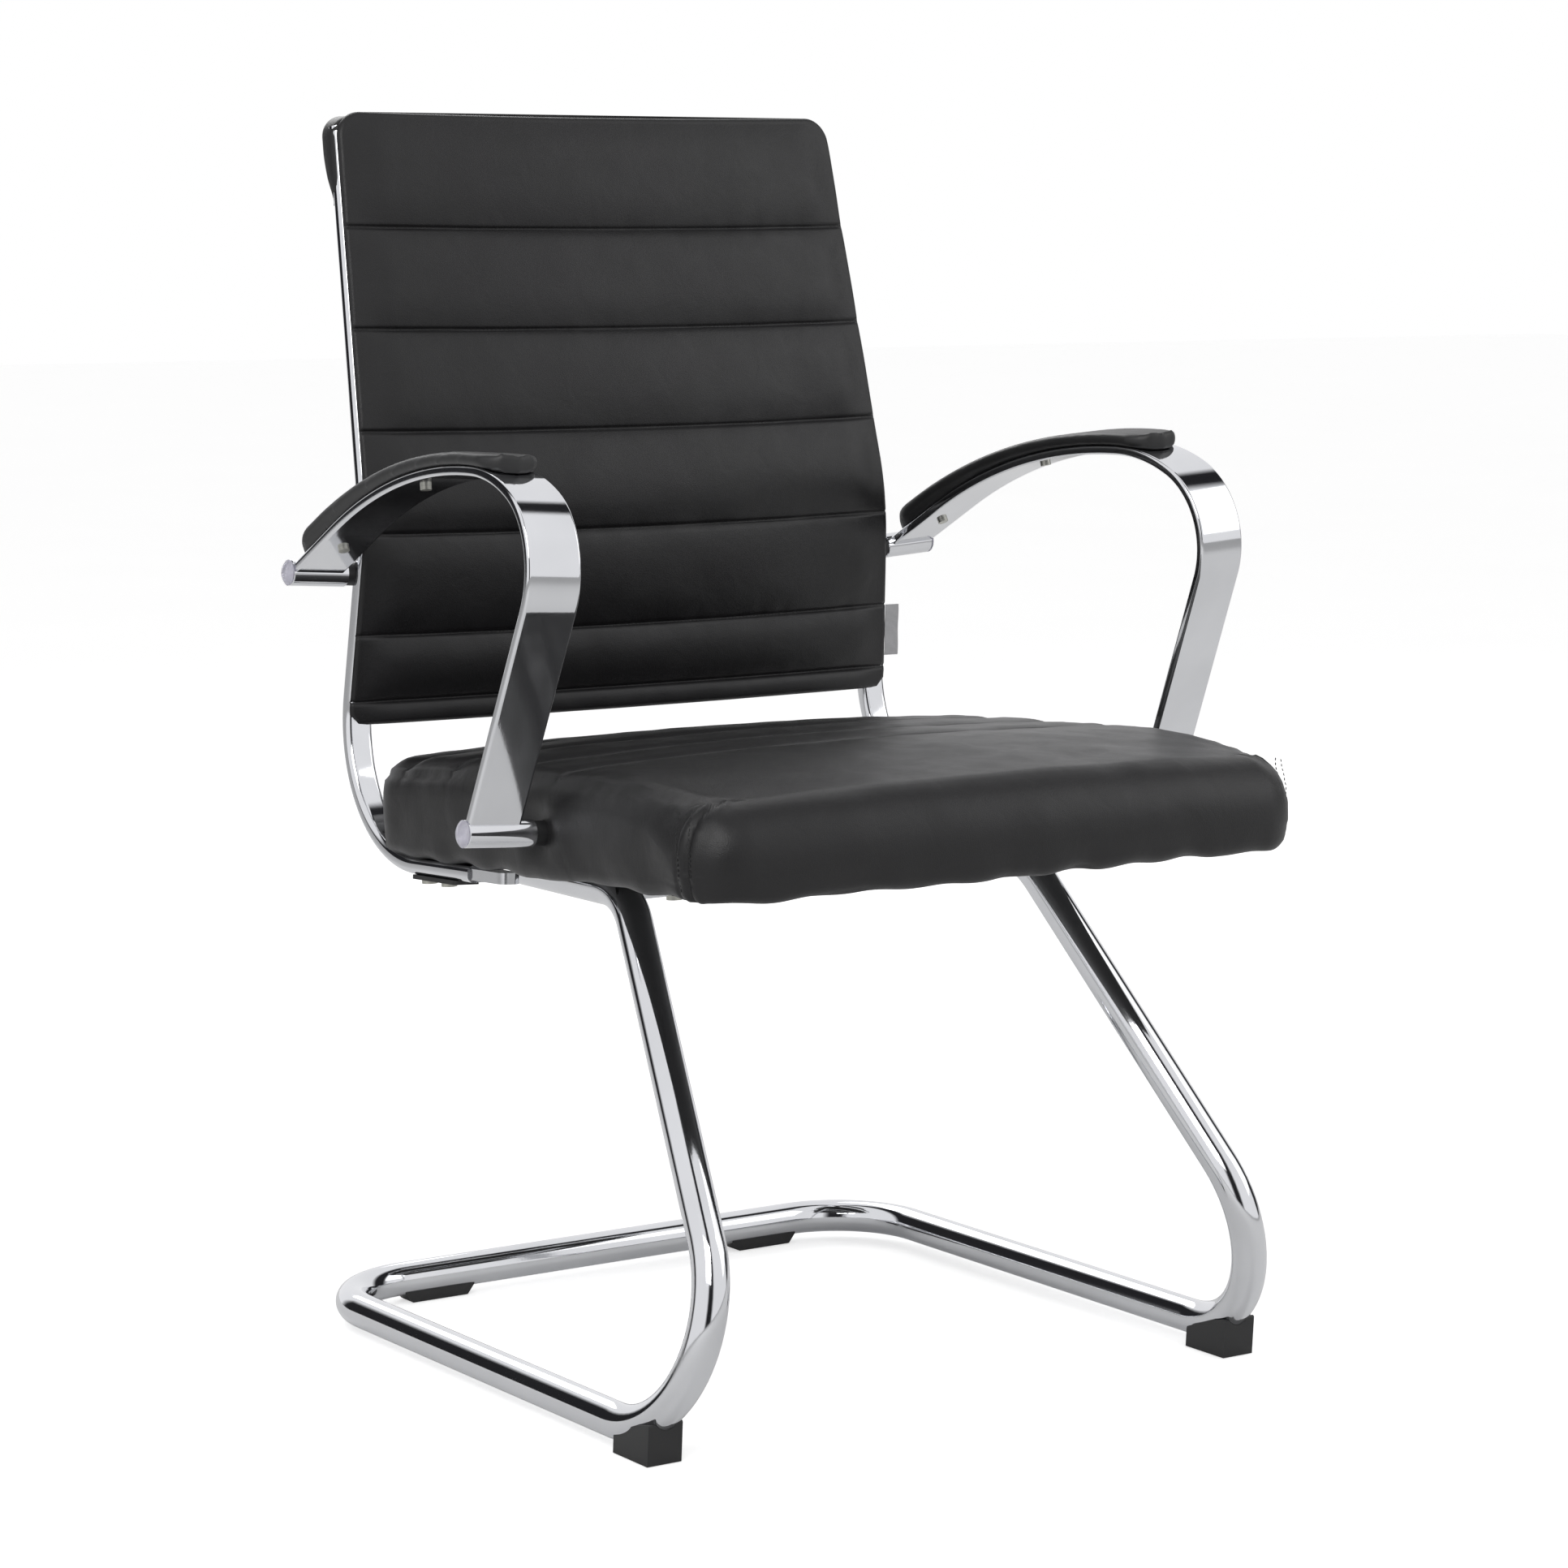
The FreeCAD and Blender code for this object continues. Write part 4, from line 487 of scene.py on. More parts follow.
def make_finishes(colours):
    """All the chair's materials, by the record's slot names."""
    FINISHES.update({
        "polished_steel": bright_chrome(colours.chrome),
        "black_leatherette": soft_leatherette(colours.leather, colours.grain),
        "black_rubber": moulded("pu_skin_foam", "#1B1B1C", "#252526", 0.0009, 0.46),
        "black_plastic": moulded("moulded_nylon", "#161617", "#202021", 0.0006, 0.42, 0.00012),
        "clear_plastic": clear_acrylic(),
        "zinc_steel": zinc_plate(),
        "black_steel": moulded("black_powder_coat", "#121213", "#1D1D1E", 0.0008, 0.5),
        "plywood": plywood(),
        "foam": spun_cloth("open_cell_foam", "#C8BE98", "#E6DCB8", 0.0012),
        "lining_cloth": spun_cloth("non_woven_lining", "#0E0E0F", "#262627", 0.0022),
        "tab_ribbon": spun_cloth("satin_ribbon", "#A9A9AB", "#CFCFD1", 0.0009),
        "thread": spun_cloth("polyester_thread", "#0B0B0C", "#1C1C1D", 0.0004),
    })


def dress_nodes():
    """Every carried-over solid takes the material of its slot."""
    for row in frame["record"]["subparts"]:
        node = frame["nodes"][row["node"]]
        node.data.materials.clear()
        node.data.materials.append(FINISHES[row["material_slot"]])


# Polished steel

def make_sled():
    """Round tube with six bends, each spun in turn."""
    rise = RUN_Z - FLOOR_TUBE_Z
    run_x = SLED_HALF - rise * math.tan(SLED_SPREAD)
    run_front = SLED_CORNER_Y + rise * math.tan(SLED_RAKE)
    one_side = [
        Vector((-run_x, SLED_END_Y, RUN_Z)),
        Vector((-run_x, run_front, RUN_Z)),
        Vector((-SLED_HALF, SLED_CORNER_Y, FLOOR_TUBE_Z)),
        Vector((-SLED_HALF, SLED_REAR_Y, FLOOR_TUBE_Z)),
    ]
    points = one_side + [Vector((-p.x, p.y, p.z)) for p in reversed(one_side)]
    bends = SLED_BENDS + SLED_BENDS[::-1]
    piece = bent_bar("sled_tube", round_section(56, TUBE_R), points, bends)
    return finish_piece(piece, "polished_steel", ["sled_base"])


def make_rails():
    """Flat-oval side rails, straight up the back, bent at the waist and under the seat."""
    waist = WAIST_Z - SEAT_PLANE_Z
    top = RAIL_TOP - SEAT_PLANE_Z
    depth = RAIL_DEPTH / 2 / math.cos(SEAT_TILT)
    top_y = WAIST_Y + (top - waist) * math.tan(RECLINE)
    low_y = (WAIST_Y + (waist + depth) * math.tan(LOW_LEAN)) / (1 - math.tan(LOW_LEAN) * math.tan(SEAT_TILT))
    low_z = -depth - low_y * math.tan(SEAT_TILT)
    end_z = -depth - RAIL_END_Y * math.tan(SEAT_TILT)
    points = [Vector((0, top_y, top)), Vector((0, WAIST_Y, waist)), Vector((0, low_y, low_z)),
              Vector((0, RAIL_END_Y, end_z))]
    section = flat_section(RAIL_WIDTH / 2, RAIL_DEPTH / 2, 0.0046, 7)
    for hand, name in HANDS:
        piece = bent_bar(f"back_rail_{name}", section, points, RAIL_BENDS, 32)
        settle(piece, rail_frame(hand))
        finish_piece(piece, "polished_steel", [f"side_rail_{name}"])


def arm_line():
    """Corners of the arm bar's middle line, from boss to boss, in the arm's own plane."""
    brow_y = ARM_FRONT_Y - ARM_BROW_RUN * math.cos(ARM_BROW)
    brow_z = ARM_RISE - ARM_BROW_RUN * math.sin(ARM_BROW)
    boss_y = brow_y + (brow_z + ARM_DROP) * math.tan(ARM_LEAN)
    return [Vector((0, 0, 0)), Vector((0, -ARM_RISE / math.tan(ARM_SLOPE), ARM_RISE)),
            Vector((0, ARM_FRONT_Y, ARM_RISE)), Vector((0, brow_y, brow_z)), Vector((0, boss_y, -ARM_DROP))]


def make_arms():
    """Flat bars with softly rounded edges, bent round the front."""
    points = arm_line()
    front_boss = points[-1].copy()
    inside = BOSS_R * 0.9
    points[0] += (points[1] - points[0]).normalized() * inside
    points[-1] += (points[-2] - points[-1]).normalized() * inside
    section = flat_section(ARM_BAR / 2, ARM_THICK / 2, 0.0022, 6)
    for hand, name in HANDS:
        piece = bent_bar(f"arm_bar_{name}", section, points, ARM_BENDS, 36)
        settle(piece, arm_frame(hand))
        finish_piece(piece, "polished_steel", [f"arm_{name}"])
    return front_boss


def make_bosses(front_boss):
    """Turned bosses, each with a hollow for its bolt and a clear domed cap."""
    bend = (BOSS_R ** 2 + CAP_DOME ** 2) / (2 * CAP_DOME)
    cap = [(BOSS_OUTER - 0.003, 0.0052), (BOSS_OUTER, 0.0054), (BOSS_OUTER + 0.0001, BOSS_R - 0.0003),
           (BOSS_OUTER + 0.001, BOSS_R)]
    for step in range(1, 9):
        radius = BOSS_R * math.cos(math.pi / 2 * step / 8)
        rise = math.sqrt(bend ** 2 - radius ** 2) - (bend - CAP_DOME)
        cap.append((BOSS_OUTER + 0.001 + rise, radius))
    for hand, name in HANDS:
        for end, spot, inner in (("rear", Vector(), REAR_BOSS_INNER),
                                 ("front", front_boss, FRONT_BOSS_INNER)):
            wall = [(inner, 0.0036), (inner, BOSS_R - 0.0006), (inner + 0.0006, BOSS_R),
                    (BOSS_OUTER - 0.0008, BOSS_R), (BOSS_OUTER, BOSS_R - 0.0008), (BOSS_OUTER, 0.0057),
                    (BOSS_OUTER - 0.0088, 0.0055), (BOSS_OUTER - 0.009, 0.0036)]
            lay = Matrix.Rotation(math.pi / 2 * hand, 4, "Y")
            place = arm_frame(hand) @ Matrix.Translation(spot) @ lay
            for kind, profile, slot, node in (("boss", wall, "polished_steel", "arm_boss"),
                                              ("cap", cap, "clear_plastic", "boss_cap")):
                piece = turned(f"{kind}_{end}_{name}", profile)
                settle(piece, place)
                finish_piece(piece, slot, [f"{node}_{end}_{name}"])


# Soft pieces

def make_arm_pads():
    """Moulded pads: the solid's form, rounded over as skinned foam is."""
    for hand, name in HANDS:
        source = frame["nodes"][f"arm_pad_{name}"]
        piece = bpy.data.objects.new(f"pad_{name}", source.data.copy())
        bpy.context.scene.collection.objects.link(piece)
        face_outwards(piece)
        round_pad_ends(piece, arm_frame(hand))
        apply(piece, "REMESH", mode="VOXEL", voxel_size=0.0015)
        apply(piece, "SMOOTH", factor=0.5, iterations=14)
        shade_soft(piece)
        finish_piece(piece, "black_rubber", [f"arm_pad_{name}"])


def round_pad_ends(piece, place):
    """End the pad where the photo's does, and draw its ends in to rounded ones, as seen from above."""
    pick(piece)
    bpy.ops.object.mode_set(mode="EDIT")
    bpy.ops.mesh.select_all(action="SELECT")
    home = place.inverted()
    along = place.to_3x3() @ Vector((0, 1, 0))
    spots = [home @ v.co for v in piece.data.vertices]
    front, rear = min(p.y for p in spots) + PAD_SHORTER, max(p.y for p in spots)
    bpy.ops.mesh.bisect(plane_co=place @ Vector((0, front, 0)), plane_no=along, use_fill=True,
                        clear_inner=True)
    for k in range(1, 12):
        for y in (front + 0.0022 * k, rear - 0.0022 * k):
            bpy.ops.mesh.select_all(action="SELECT")
            bpy.ops.mesh.bisect(plane_co=place @ Vector((0, y, 0)), plane_no=along)
    bpy.ops.object.mode_set(mode="OBJECT")
    bend, narrow = 0.021, 0.0225
    for vertex in piece.data.vertices:
        spot = home @ vertex.co
        near = min(spot.y - front, rear - spot.y)
        if vertex.normal.z > 0.3:
            spot.z -= PAD_THINNER
            vertex.co = place @ spot
        if near < bend:
            spot.x *= max(1 - drawn_in(near, bend) / narrow, 0.04)
            vertex.co = place @ spot


def soft_step(value, low, high):
    """0 below low, 1 above high, smooth between."""
    t = min(max((value - low) / (high - low), 0.0), 1.0)
    return t * t * (3 - 2 * t)


def corner_levels(end, reach, steps):
    """Levels that follow a rounded corner evenly from its end."""
    return [end + reach * (1 - math.cos(math.pi / 2 * k / steps)) for k in range(1, steps)]


def drawn_in(near, radius):
    """How far a rounded corner draws its outline in, at this distance from its end."""
    return radius - math.sqrt(max(radius ** 2 - (radius - min(near, radius)) ** 2, 0))


def groove(distance, width):
    """1 at the middle of a line, falling off to either side."""
    return math.exp(-(distance / width) ** 2)


def levels_with(seams, low, high, step, fine):
    """Levels from low to high, closer together by each seam."""
    offsets = [k * fine for k in range(-4, 5)]
    levels = [s + o for s in seams for o in offsets if low < s + o < high]
    count = max(int((high - low) / step), 1)
    for i in range(count + 1):
        level = low + (high - low) * i / count
        if all(abs(level - s) > 5 * fine for s in seams):
            levels.append(level)
    levels.append(low)
    levels.append(high)
    return sorted(set(round(v, 6) for v in levels))


def stitch_row(spots, ups, pitch=0.0034, size=(0.0012, 0.00042)):
    """Corners and faces of a row of small raised stitches along a line of spots. ups point outwards."""
    corners, faces = [], []
    travelled = 0.0
    for a, b, out in zip(spots, spots[1:], ups):
        reach = (b - a).length
        if reach == 0:
            continue
        ahead = (b - a) / reach
        at = (-travelled) % pitch
        while at < reach:
            middle = a + ahead * at
            cross = ahead.cross(out).normalized()
            base = len(corners)
            for along, wide in ((-1, 0), (-0.55, 1), (0.55, 1), (1, 0)):
                for turn in range(4 if wide else 1):
                    angle = math.pi / 2 * turn + math.pi / 4
                    corners.append(middle + ahead * along * size[0] + cross * wide * size[1] * math.cos(angle)
                                   + out * (size[1] * (0.1 + wide * math.sin(angle) * 0.9)))
            for turn in range(4):
                after = (turn + 1) % 4
                faces.append((base, base + 1 + after, base + 1 + turn))
                faces.append((base + 1 + turn, base + 1 + after, base + 5 + after, base + 5 + turn))
                faces.append((base + 5 + turn, base + 5 + after, base + 9))
            at += pitch
        travelled += reach
    return corners, faces


def sew(name, rows, stands_on):
    """One piece of thread from several rows of stitches."""
    corners, faces = [], []
    for spots, ups in rows:
        new_corners, new_faces = stitch_row(spots, ups)
        base = len(corners)
        corners += new_corners
        faces += [tuple(i + base for i in face) for face in new_faces]
    piece = mesh_of(name, corners, faces)
    face_outwards(piece)
    smooth(piece, 60)
    return finish_piece(piece, stands_on, finish="thread")


SEAT_CHANNELS = [0.1275, 0.0575, -0.0125, -0.0825]
SEAT_SHOULDER = 0.026
SEAT_CORNER = 0.038
SEAT_CROWN_R = 4.4
SEAT_BELLY = 0.0048
BELLY_TOP = 0.062
FRONT_BREAK = -0.1575
REAR_BREAK = 0.0775
FRONT_FALL = math.tan(math.radians(8.1))
REAR_FALL = math.tan(math.radians(3.8))
BOSS_DIMPLE = (-0.0692, 0.034)


def seat_crest(y):
    """Height of the seat's middle line over the seat plane."""
    ease = 0.03
    drop = 0.0
    for beyond, fall in ((FRONT_BREAK + ease - y, FRONT_FALL), (y - REAR_BREAK + ease, REAR_FALL)):
        if beyond > 0:
            drop = fall * (beyond * beyond / (4 * ease) if beyond < 2 * ease else beyond - ease)
    return SEAT_TOP - drop


def seat_mesh():
    """Closed cushion: a grid on top, then rings over the shoulder, down the sides and in under the board."""
    inner_half = SEAT_HALF - SEAT_SHOULDER
    front, rear = SEAT_FRONT + SEAT_SHOULDER, SEAT_REAR - SEAT_SHOULDER
    corner = SEAT_CORNER - SEAT_SHOULDER
    rows = levels_with(SEAT_CHANNELS, front, rear, 0.005, 0.0009)
    rows = sorted(set(rows + corner_levels(front, corner, 44) + corner_levels(rear, -corner, 12)))
    columns = 110
    spots = []
    for y in rows:
        near = min(y - front, rear - y)
        half = inner_half - drawn_in(near, corner)
        for c in range(columns + 1):
            x = half * (2 * c / columns - 1)
            bow = 0.010 * (1 - (x / inner_half) ** 2) * (1 - soft_step(y, front, front + 0.10))
            spots.append(Vector((x, y - bow, seat_crest(y) - x * x / (2 * SEAT_CROWN_R))))
    wide = columns + 1
    faces = grid_faces(len(rows), wide)
    loop = grid_rim(len(rows), wide)
    count = len(loop)
    edge = [spots[i] for i in loop]
    outward = ways_out(edge, Vector((0, 0, 1)))
    profile = []
    for step in range(1, 10):
        angle = math.pi / 2 * step / 9
        profile.append((SEAT_SHOULDER * math.sin(angle), "top", SEAT_SHOULDER * (1 - math.cos(angle))))
    for share in [k / 22 for k in range(1, 22)]:
        profile.append((SEAT_SHOULDER, "side", share))
    roll = 0.008
    for step in range(0, 6):
        angle = math.pi / 2 * step / 5
        profile.append((SEAT_SHOULDER - roll * (1 - math.cos(angle)), "low", roll * (1 - math.sin(angle))))
    profile += [(0.008, "low", 0.0), (0.0, "low", 0.0)]
    ring_start = len(spots)
    for out, kind, value in profile:
        for k in range(count):
            # The front edge rolls over more slowly than the boxed sides do
            deeper = 1 + 0.75 * (1 - soft_step(edge[k].y, front - 0.01, front + 0.05))
            high = edge[k].z - SEAT_SHOULDER * deeper
            if kind == "top":
                z = edge[k].z - value * deeper
            elif kind == "side":
                z = high + (roll - high) * value
            else:
                z = value
            spots.append(Vector((edge[k].x, edge[k].y, 0)) + outward[k] * out + Vector((0, 0, z)))
    walls, last = ring_walls(loop, ring_start, len(profile))
    return spots, faces + walls + [tuple(last)]


def seam_height(y):
    """Height of the side seam, which climbs a little from the rear."""
    return 0.058 + 0.008 * (1 - soft_step(y, -0.05, SEAT_REAR)) - 0.004 * (1 - soft_step(y, -0.24, -0.16))


SEAT_CORNER_Y = -0.2530


def on_side_panel(spot):
    """True for the boxing round the sides and the rear, behind the corner seams."""
    return spot.y > SEAT_CORNER_Y and (abs(spot.x) > SEAT_HALF - 0.030 or spot.y > SEAT_REAR - 0.030)


def seat_relief(spot):
    """How far the cover stands out or is drawn in at a spot of the seat, in its own frame."""
    h = spot.z
    out = 0.0
    seam = seam_height(spot.y)
    above = soft_step(h, seam, seam + 0.010)
    for channel in SEAT_CHANNELS:
        out -= 0.0030 * groove(spot.y - channel, 0.0024) * above
        out -= 0.0020 * groove(spot.y - channel, 0.0105) * above
        # Small pulls across each sewn line
        pull = noise.noise(Vector((spot.x * 120, channel * 50, 3.1)))
        out += 0.0004 * pull * groove(abs(spot.y - channel) - 0.004, 0.0035) * above
    if on_side_panel(spot) and h > 0.02:
        out -= 0.0018 * groove(h - seam, 0.0012)
        out += 0.0007 * groove(h - seam - 0.0036, 0.0020)
        out += 0.0007 * groove(h - seam + 0.0036, 0.0020)
        pull = noise.noise(Vector((spot.y * 90, spot.x * 90, h * 25)))
        out += 0.0007 * pull * groove(h - seam, 0.010)
    if abs(spot.x) > SEAT_HALF - 0.02:
        share = soft_step(0.064 - h, 0.0, 0.012)
        away = spot.y - SEAT_CORNER_Y
        out -= 0.0020 * groove(away, 0.0013) * share
        out += 0.0006 * (groove(away - 0.0042, 0.0024) + groove(away + 0.0040, 0.0026)) * share
        out -= 0.0009 * groove(away - 0.0088, 0.0013) * share
        gather = noise.noise(Vector((away * 45, h * 230, spot.x * 5)))
        out += 0.0009 * gather * groove(away, 0.018) * share
    # Puckers that run out from the upper end of each corner seam
    reach = Vector((abs(spot.x) - SEAT_HALF + 0.006, spot.y - SEAT_CORNER_Y, h - 0.064))
    far = reach.length
    if far < 0.075:
        turn = math.atan2(reach.y, reach.z + 0.0001)
        out += 0.0005 * math.sin(turn * 9 + 1.5 * noise.noise(spot * 40)) * groove(far - 0.020, 0.012)
    # The lower edge is scalloped by the staples that hold the cover
    low = 1 - soft_step(h, 0.0, 0.026)
    run = spot.x if spot.y < SEAT_CORNER_Y else spot.y
    out += 0.0018 * low * noise.noise(Vector((run * 30, 0.3 + (0.5 if spot.x > 0 else 0), 0)))
    # Belly of the front and sides, and slow unevenness of the foam
    belly = math.sin(math.pi * min(max(h / BELLY_TOP, 0), 1))
    out += SEAT_BELLY * belly * (0.2 + 0.8 * soft_step(-spot.y, 0.20, 0.26))
    out += 0.0011 * noise.noise(spot * 13) + 0.0006 * noise.noise(spot * 37)
    # Dimple where each front arm boss is drawn against the side
    boss = Vector((0, spot.y - BOSS_DIMPLE[0], h - BOSS_DIMPLE[1]))
    if abs(spot.x) > SEAT_HALF - 0.02:
        out += 0.0030 * groove(boss.length - 0.026, 0.016) - 0.0020 * groove(boss.length, 0.014)
    return out


def make_seat():
    """Seat cushion with sewn channels, a boxed side panel, corner seams and stapled lower edge."""
    piece = mesh_of("seat_cushion", *seat_mesh())
    face_outwards(piece)
    normals = [v.normal.copy() for v in piece.data.vertices]
    for vertex, normal in zip(piece.data.vertices, normals):
        spot = vertex.co.copy()
        if spot.z > 0.0005 or abs(normal.z) < 0.9:
            vertex.co = spot + normal * seat_relief(spot)
        low = 1 - soft_step(spot.z, 0.0, 0.03)
        sag = 0.0035 * (1 - soft_step(spot.y, SEAT_FRONT, SEAT_FRONT + 0.06)) * low
        in_front = spot.y < SEAT_CORNER_Y
        run = spot.x if in_front else spot.y
        drape = low * soft_step(abs(spot.x) + 0.2 * in_front, 0.19, 0.23)
        uneven = noise.noise(Vector((run * 30, 0.5, 0)))
        vertex.co.z -= sag + drape * (0.0007 * math.sin(run * 120) + 0.0016 * uneven)
    place = seat_frame()
    piece.data.transform(place)
    shade_soft(piece)
    finish_piece(piece, "black_leatherette", ["seat_cover", "seat_foam"])

    rows = []
    turn = place.to_3x3()
    for channel in SEAT_CHANNELS:
        line, ups = [], []
        for k in range(90):
            x = (SEAT_HALF - 0.024) * (2 * k / 89 - 1)
            spot = Vector((x, channel, seat_crest(channel) - x * x / (2 * SEAT_CROWN_R)))
            spot.z += seat_relief(spot)
            line.append(place @ spot)
            ups.append(turn @ Vector((x / SEAT_CROWN_R, 0, 1)).normalized())
        rows.append((line, ups))
    for hand, _ in HANDS:
        for offset in (-0.0024, 0.0066):
            line, ups = [], []
            y = SEAT_CORNER_Y + offset
            behind = max(SEAT_FRONT + SEAT_CORNER - y, 0)
            x = SEAT_HALF - SEAT_CORNER + math.sqrt(SEAT_CORNER ** 2 - behind ** 2)
            out = Vector((hand * (x - SEAT_HALF + SEAT_CORNER), -behind, 0)).normalized()
            for k in range(40):
                spot = Vector((hand * x, y, 0.006 + 0.052 * k / 39))
                line.append(place @ (spot + out * (seat_relief(spot) + 0.0002)))
                ups.append(turn @ out)
            rows.append((line, ups))
    sew("seat_thread", rows, "black_leatherette")

    make_lining()


def make_lining():
    """Thin dust cloth under the board, a little slack between its staples."""
    deselect()
    bpy.ops.mesh.primitive_grid_add(x_subdivisions=60, y_subdivisions=56, size=1)
    piece = bpy.context.object
    piece.name = "seat_dust_cloth"
    half, front, rear = SEAT_HALF - 0.028, SEAT_FRONT + 0.028, SEAT_REAR - 0.028
    for vertex in piece.data.vertices:
        u, v = vertex.co.x * 2, vertex.co.y + 0.5
        x, y = u * half, front + (rear - front) * v
        rim = min(1 - abs(u), v * 2, (1 - v) * 2)
        slack = soft_step(rim, 0.0, 0.12)
        z = 0.0006 - 0.0008 * slack * (1 + noise.noise(Vector((x * 22, y * 22, 0.5))))
        vertex.co = (x, y, z)
    apply(piece, "SOLIDIFY", thickness=CLOTH_THICK)
    settle(piece, seat_frame())
    face_outwards(piece)
    smooth(piece, 60)
    finish_piece(piece, "lining_cloth", ["seat_lining"])


# Back

def rail_line(z):
    """Y of the rails' middle line at height z, rounded through the waist."""
    reach = 0.0325
    if z > WAIST_Z + reach:
        return WAIST_Y + (z - WAIST_Z) * math.tan(RECLINE)
    if z < WAIST_Z - reach:
        return WAIST_Y + (WAIST_Z - z) * math.tan(LOW_LEAN)
    t = (z - WAIST_Z + reach) / (2 * reach)
    low = WAIST_Y + reach * math.tan(LOW_LEAN)
    high = WAIST_Y + reach * math.tan(RECLINE)
    return (1 - t) ** 2 * low + 2 * t * (1 - t) * WAIST_Y + t * t * high


def back_half(z):
    """Half width between the rails' outer faces at height z."""
    return RAIL_X + RAIL_WIDTH / 2 - (z - SEAT_PLANE_Z) * math.tan(RAIL_SPLAY)


def back_lean(z):
    """Cosine of the rails' lean at height z."""
    return math.cos(RECLINE if z > WAIST_Z else LOW_LEAN)


BACK_SEAMS = [0.467, 0.5162, 0.5904, 0.6646, 0.7388, 0.813]
FRONT_PLANE = 0.0062
PAD_MIDDLE = 0.0125


def rib_swell(z):
    """How far the ribs stand out at height z: full between seams, drawn in at each."""
    levels = BACK_SEAMS + [BACK_TOP - 0.004]
    for low, high in zip(levels, levels[1:]):
        if low <= z <= high:
            t = (z - low) / (high - low)
            return RIB_SWELL * (1 - abs(2 * t - 1) ** 2.4)
    if z < levels[0]:
        t = min((levels[0] - z) / 0.018, 1)
        return 0.0040 * math.sin(math.pi * min(t * 0.9, 1))
    return 0.0


def back_front_y(x, z):
    """Front face of the back at x, z: crowned from side to side, ribbed from bottom to top."""
    droop = 0.0025 * (1 - (x / 0.23) ** 2)
    level = z + droop * soft_step(z, HEM_Z + 0.03, HEM_Z + 0.08) * (1 - soft_step(z, 0.85, BACK_TOP))
    crown = x * x / (2 * 2.6)
    side_ease = soft_step(back_half(z) - abs(x), 0.002, 0.034)
    swell = rib_swell(level) * (0.12 + 0.88 * side_ease)
    pull = 0.0
    for seam in BACK_SEAMS:
        near = groove(level - seam, 0.008)
        pull += 0.0007 * near * noise.noise(Vector((x * 85, seam * 31, 0.7)))
        pull -= 0.0019 * groove(level - seam, 0.0014)
    wave = 0.0009 * noise.noise(Vector((x * 11, z * 16, 2.2)))
    wave += 0.0004 * noise.noise(Vector((x * 30, z * 42, 4)))
    return rail_line(z) - (FRONT_PLANE + PAD_MIDDLE + swell + pull + wave) / back_lean(z) + crown


def back_mesh():
    """Closed pad: a grid in front, then rings that turn back to the rails' front faces."""
    edge_r = 0.004
    low, high = HEM_Z + 0.005, BACK_TOP - 0.0045
    corner, hem_corner = 0.015, 0.005
    rows = levels_with(BACK_SEAMS, low, high, 0.0055, 0.001)
    rows = sorted(set(rows + corner_levels(high, -corner, 10)))
    columns = 96
    spots = []
    for z in rows:
        half = back_half(z) - 0.001 - edge_r - drawn_in(high - z, corner) - drawn_in(z - low, hem_corner)
        for c in range(columns + 1):
            x = half * (2 * c / columns - 1)
            dip = 0.0022 * (1 - (x / half) ** 2) * soft_step(z, 0.86, high)
            spots.append(Vector((x, back_front_y(x, z), z - dip)))
    wide = columns + 1
    faces = grid_faces(len(rows), wide)
    loop = grid_rim(len(rows), wide)
    count = len(loop)
    edge = [spots[i] for i in loop]
    outward = ways_out(edge, Vector((0, -1, 0)))
    rear = [rail_line(p.z) - FRONT_PLANE / back_lean(p.z) for p in edge]
    start = len(spots)
    turns = 6
    for step in range(1, turns + 1):
        angle = math.pi / 2 * step / turns
        for k in range(count):
            back = min(edge_r * (1 - math.cos(angle)), max(rear[k] - edge[k].y, 0.001) * 0.8)
            spots.append(edge[k] + outward[k] * edge_r * math.sin(angle) + Vector((0, back, 0)))
    for share in (0.5, 1.0):
        for k in range(count):
            ring = spots[start + (turns - 1) * count + k]
            y = ring.y + (rear[k] - ring.y) * share
            spots.append(Vector((ring.x, max(y, ring.y + 0.0001 * share), ring.z)))
    walls, rim = ring_walls(loop, start, turns + 2)
    faces += walls
    # The rear wall is one strip of quads for each row, from side to side
    behind = dict(zip(loop, rim))
    last = len(rows) - 1
    left = [behind[r * wide] for r in range(last + 1)]
    right = [behind[r * wide + columns] for r in range(last + 1)]
    faces.append(tuple(behind[c] for c in range(wide)) + (right[1], left[1]))
    faces += [(left[r], right[r], right[r + 1], left[r + 1]) for r in range(1, last - 1)]
    top = tuple(behind[last * wide + c] for c in range(columns, -1, -1))
    faces.append(top + (left[last - 1], right[last - 1]))
    return spots, faces


def make_back():
    """Ribbed front pad, its stitched seams and hem, and the leatherette behind."""
    piece = mesh_of("back_pad", *back_mesh())
    face_outwards(piece)
    shade_soft(piece)
    finish_piece(piece, "black_leatherette", ["back_front_cover", "back_foam"])

    rows = []
    for seam in BACK_SEAMS:
        line, ups = [], []
        half = back_half(seam) - 0.006
        for k in range(110):
            x = half * (2 * k / 109 - 1)
            z = seam - (0.0025 * (1 - (x / 0.23) ** 2) if seam > HEM_Z + 0.03 else 0.0)
            line.append(Vector((x, back_front_y(x, z), z)))
            ups.append(Vector((0, -1, 0)))
        rows.append((line, ups))
    sew("back_thread", rows, "black_leatherette")
    make_rear_cover()


def rear_ring(z, half, front, back, corner):
    """One level of the rear cover: a flat oval between two distances behind the rails' middle line."""
    middle = (front + back) / 2
    section = flat_section(half, (back - front) / 2, corner, 5)
    return [Vector((s.x, rail_line(z) + (middle + s.y) / back_lean(z), z)) for s in section]


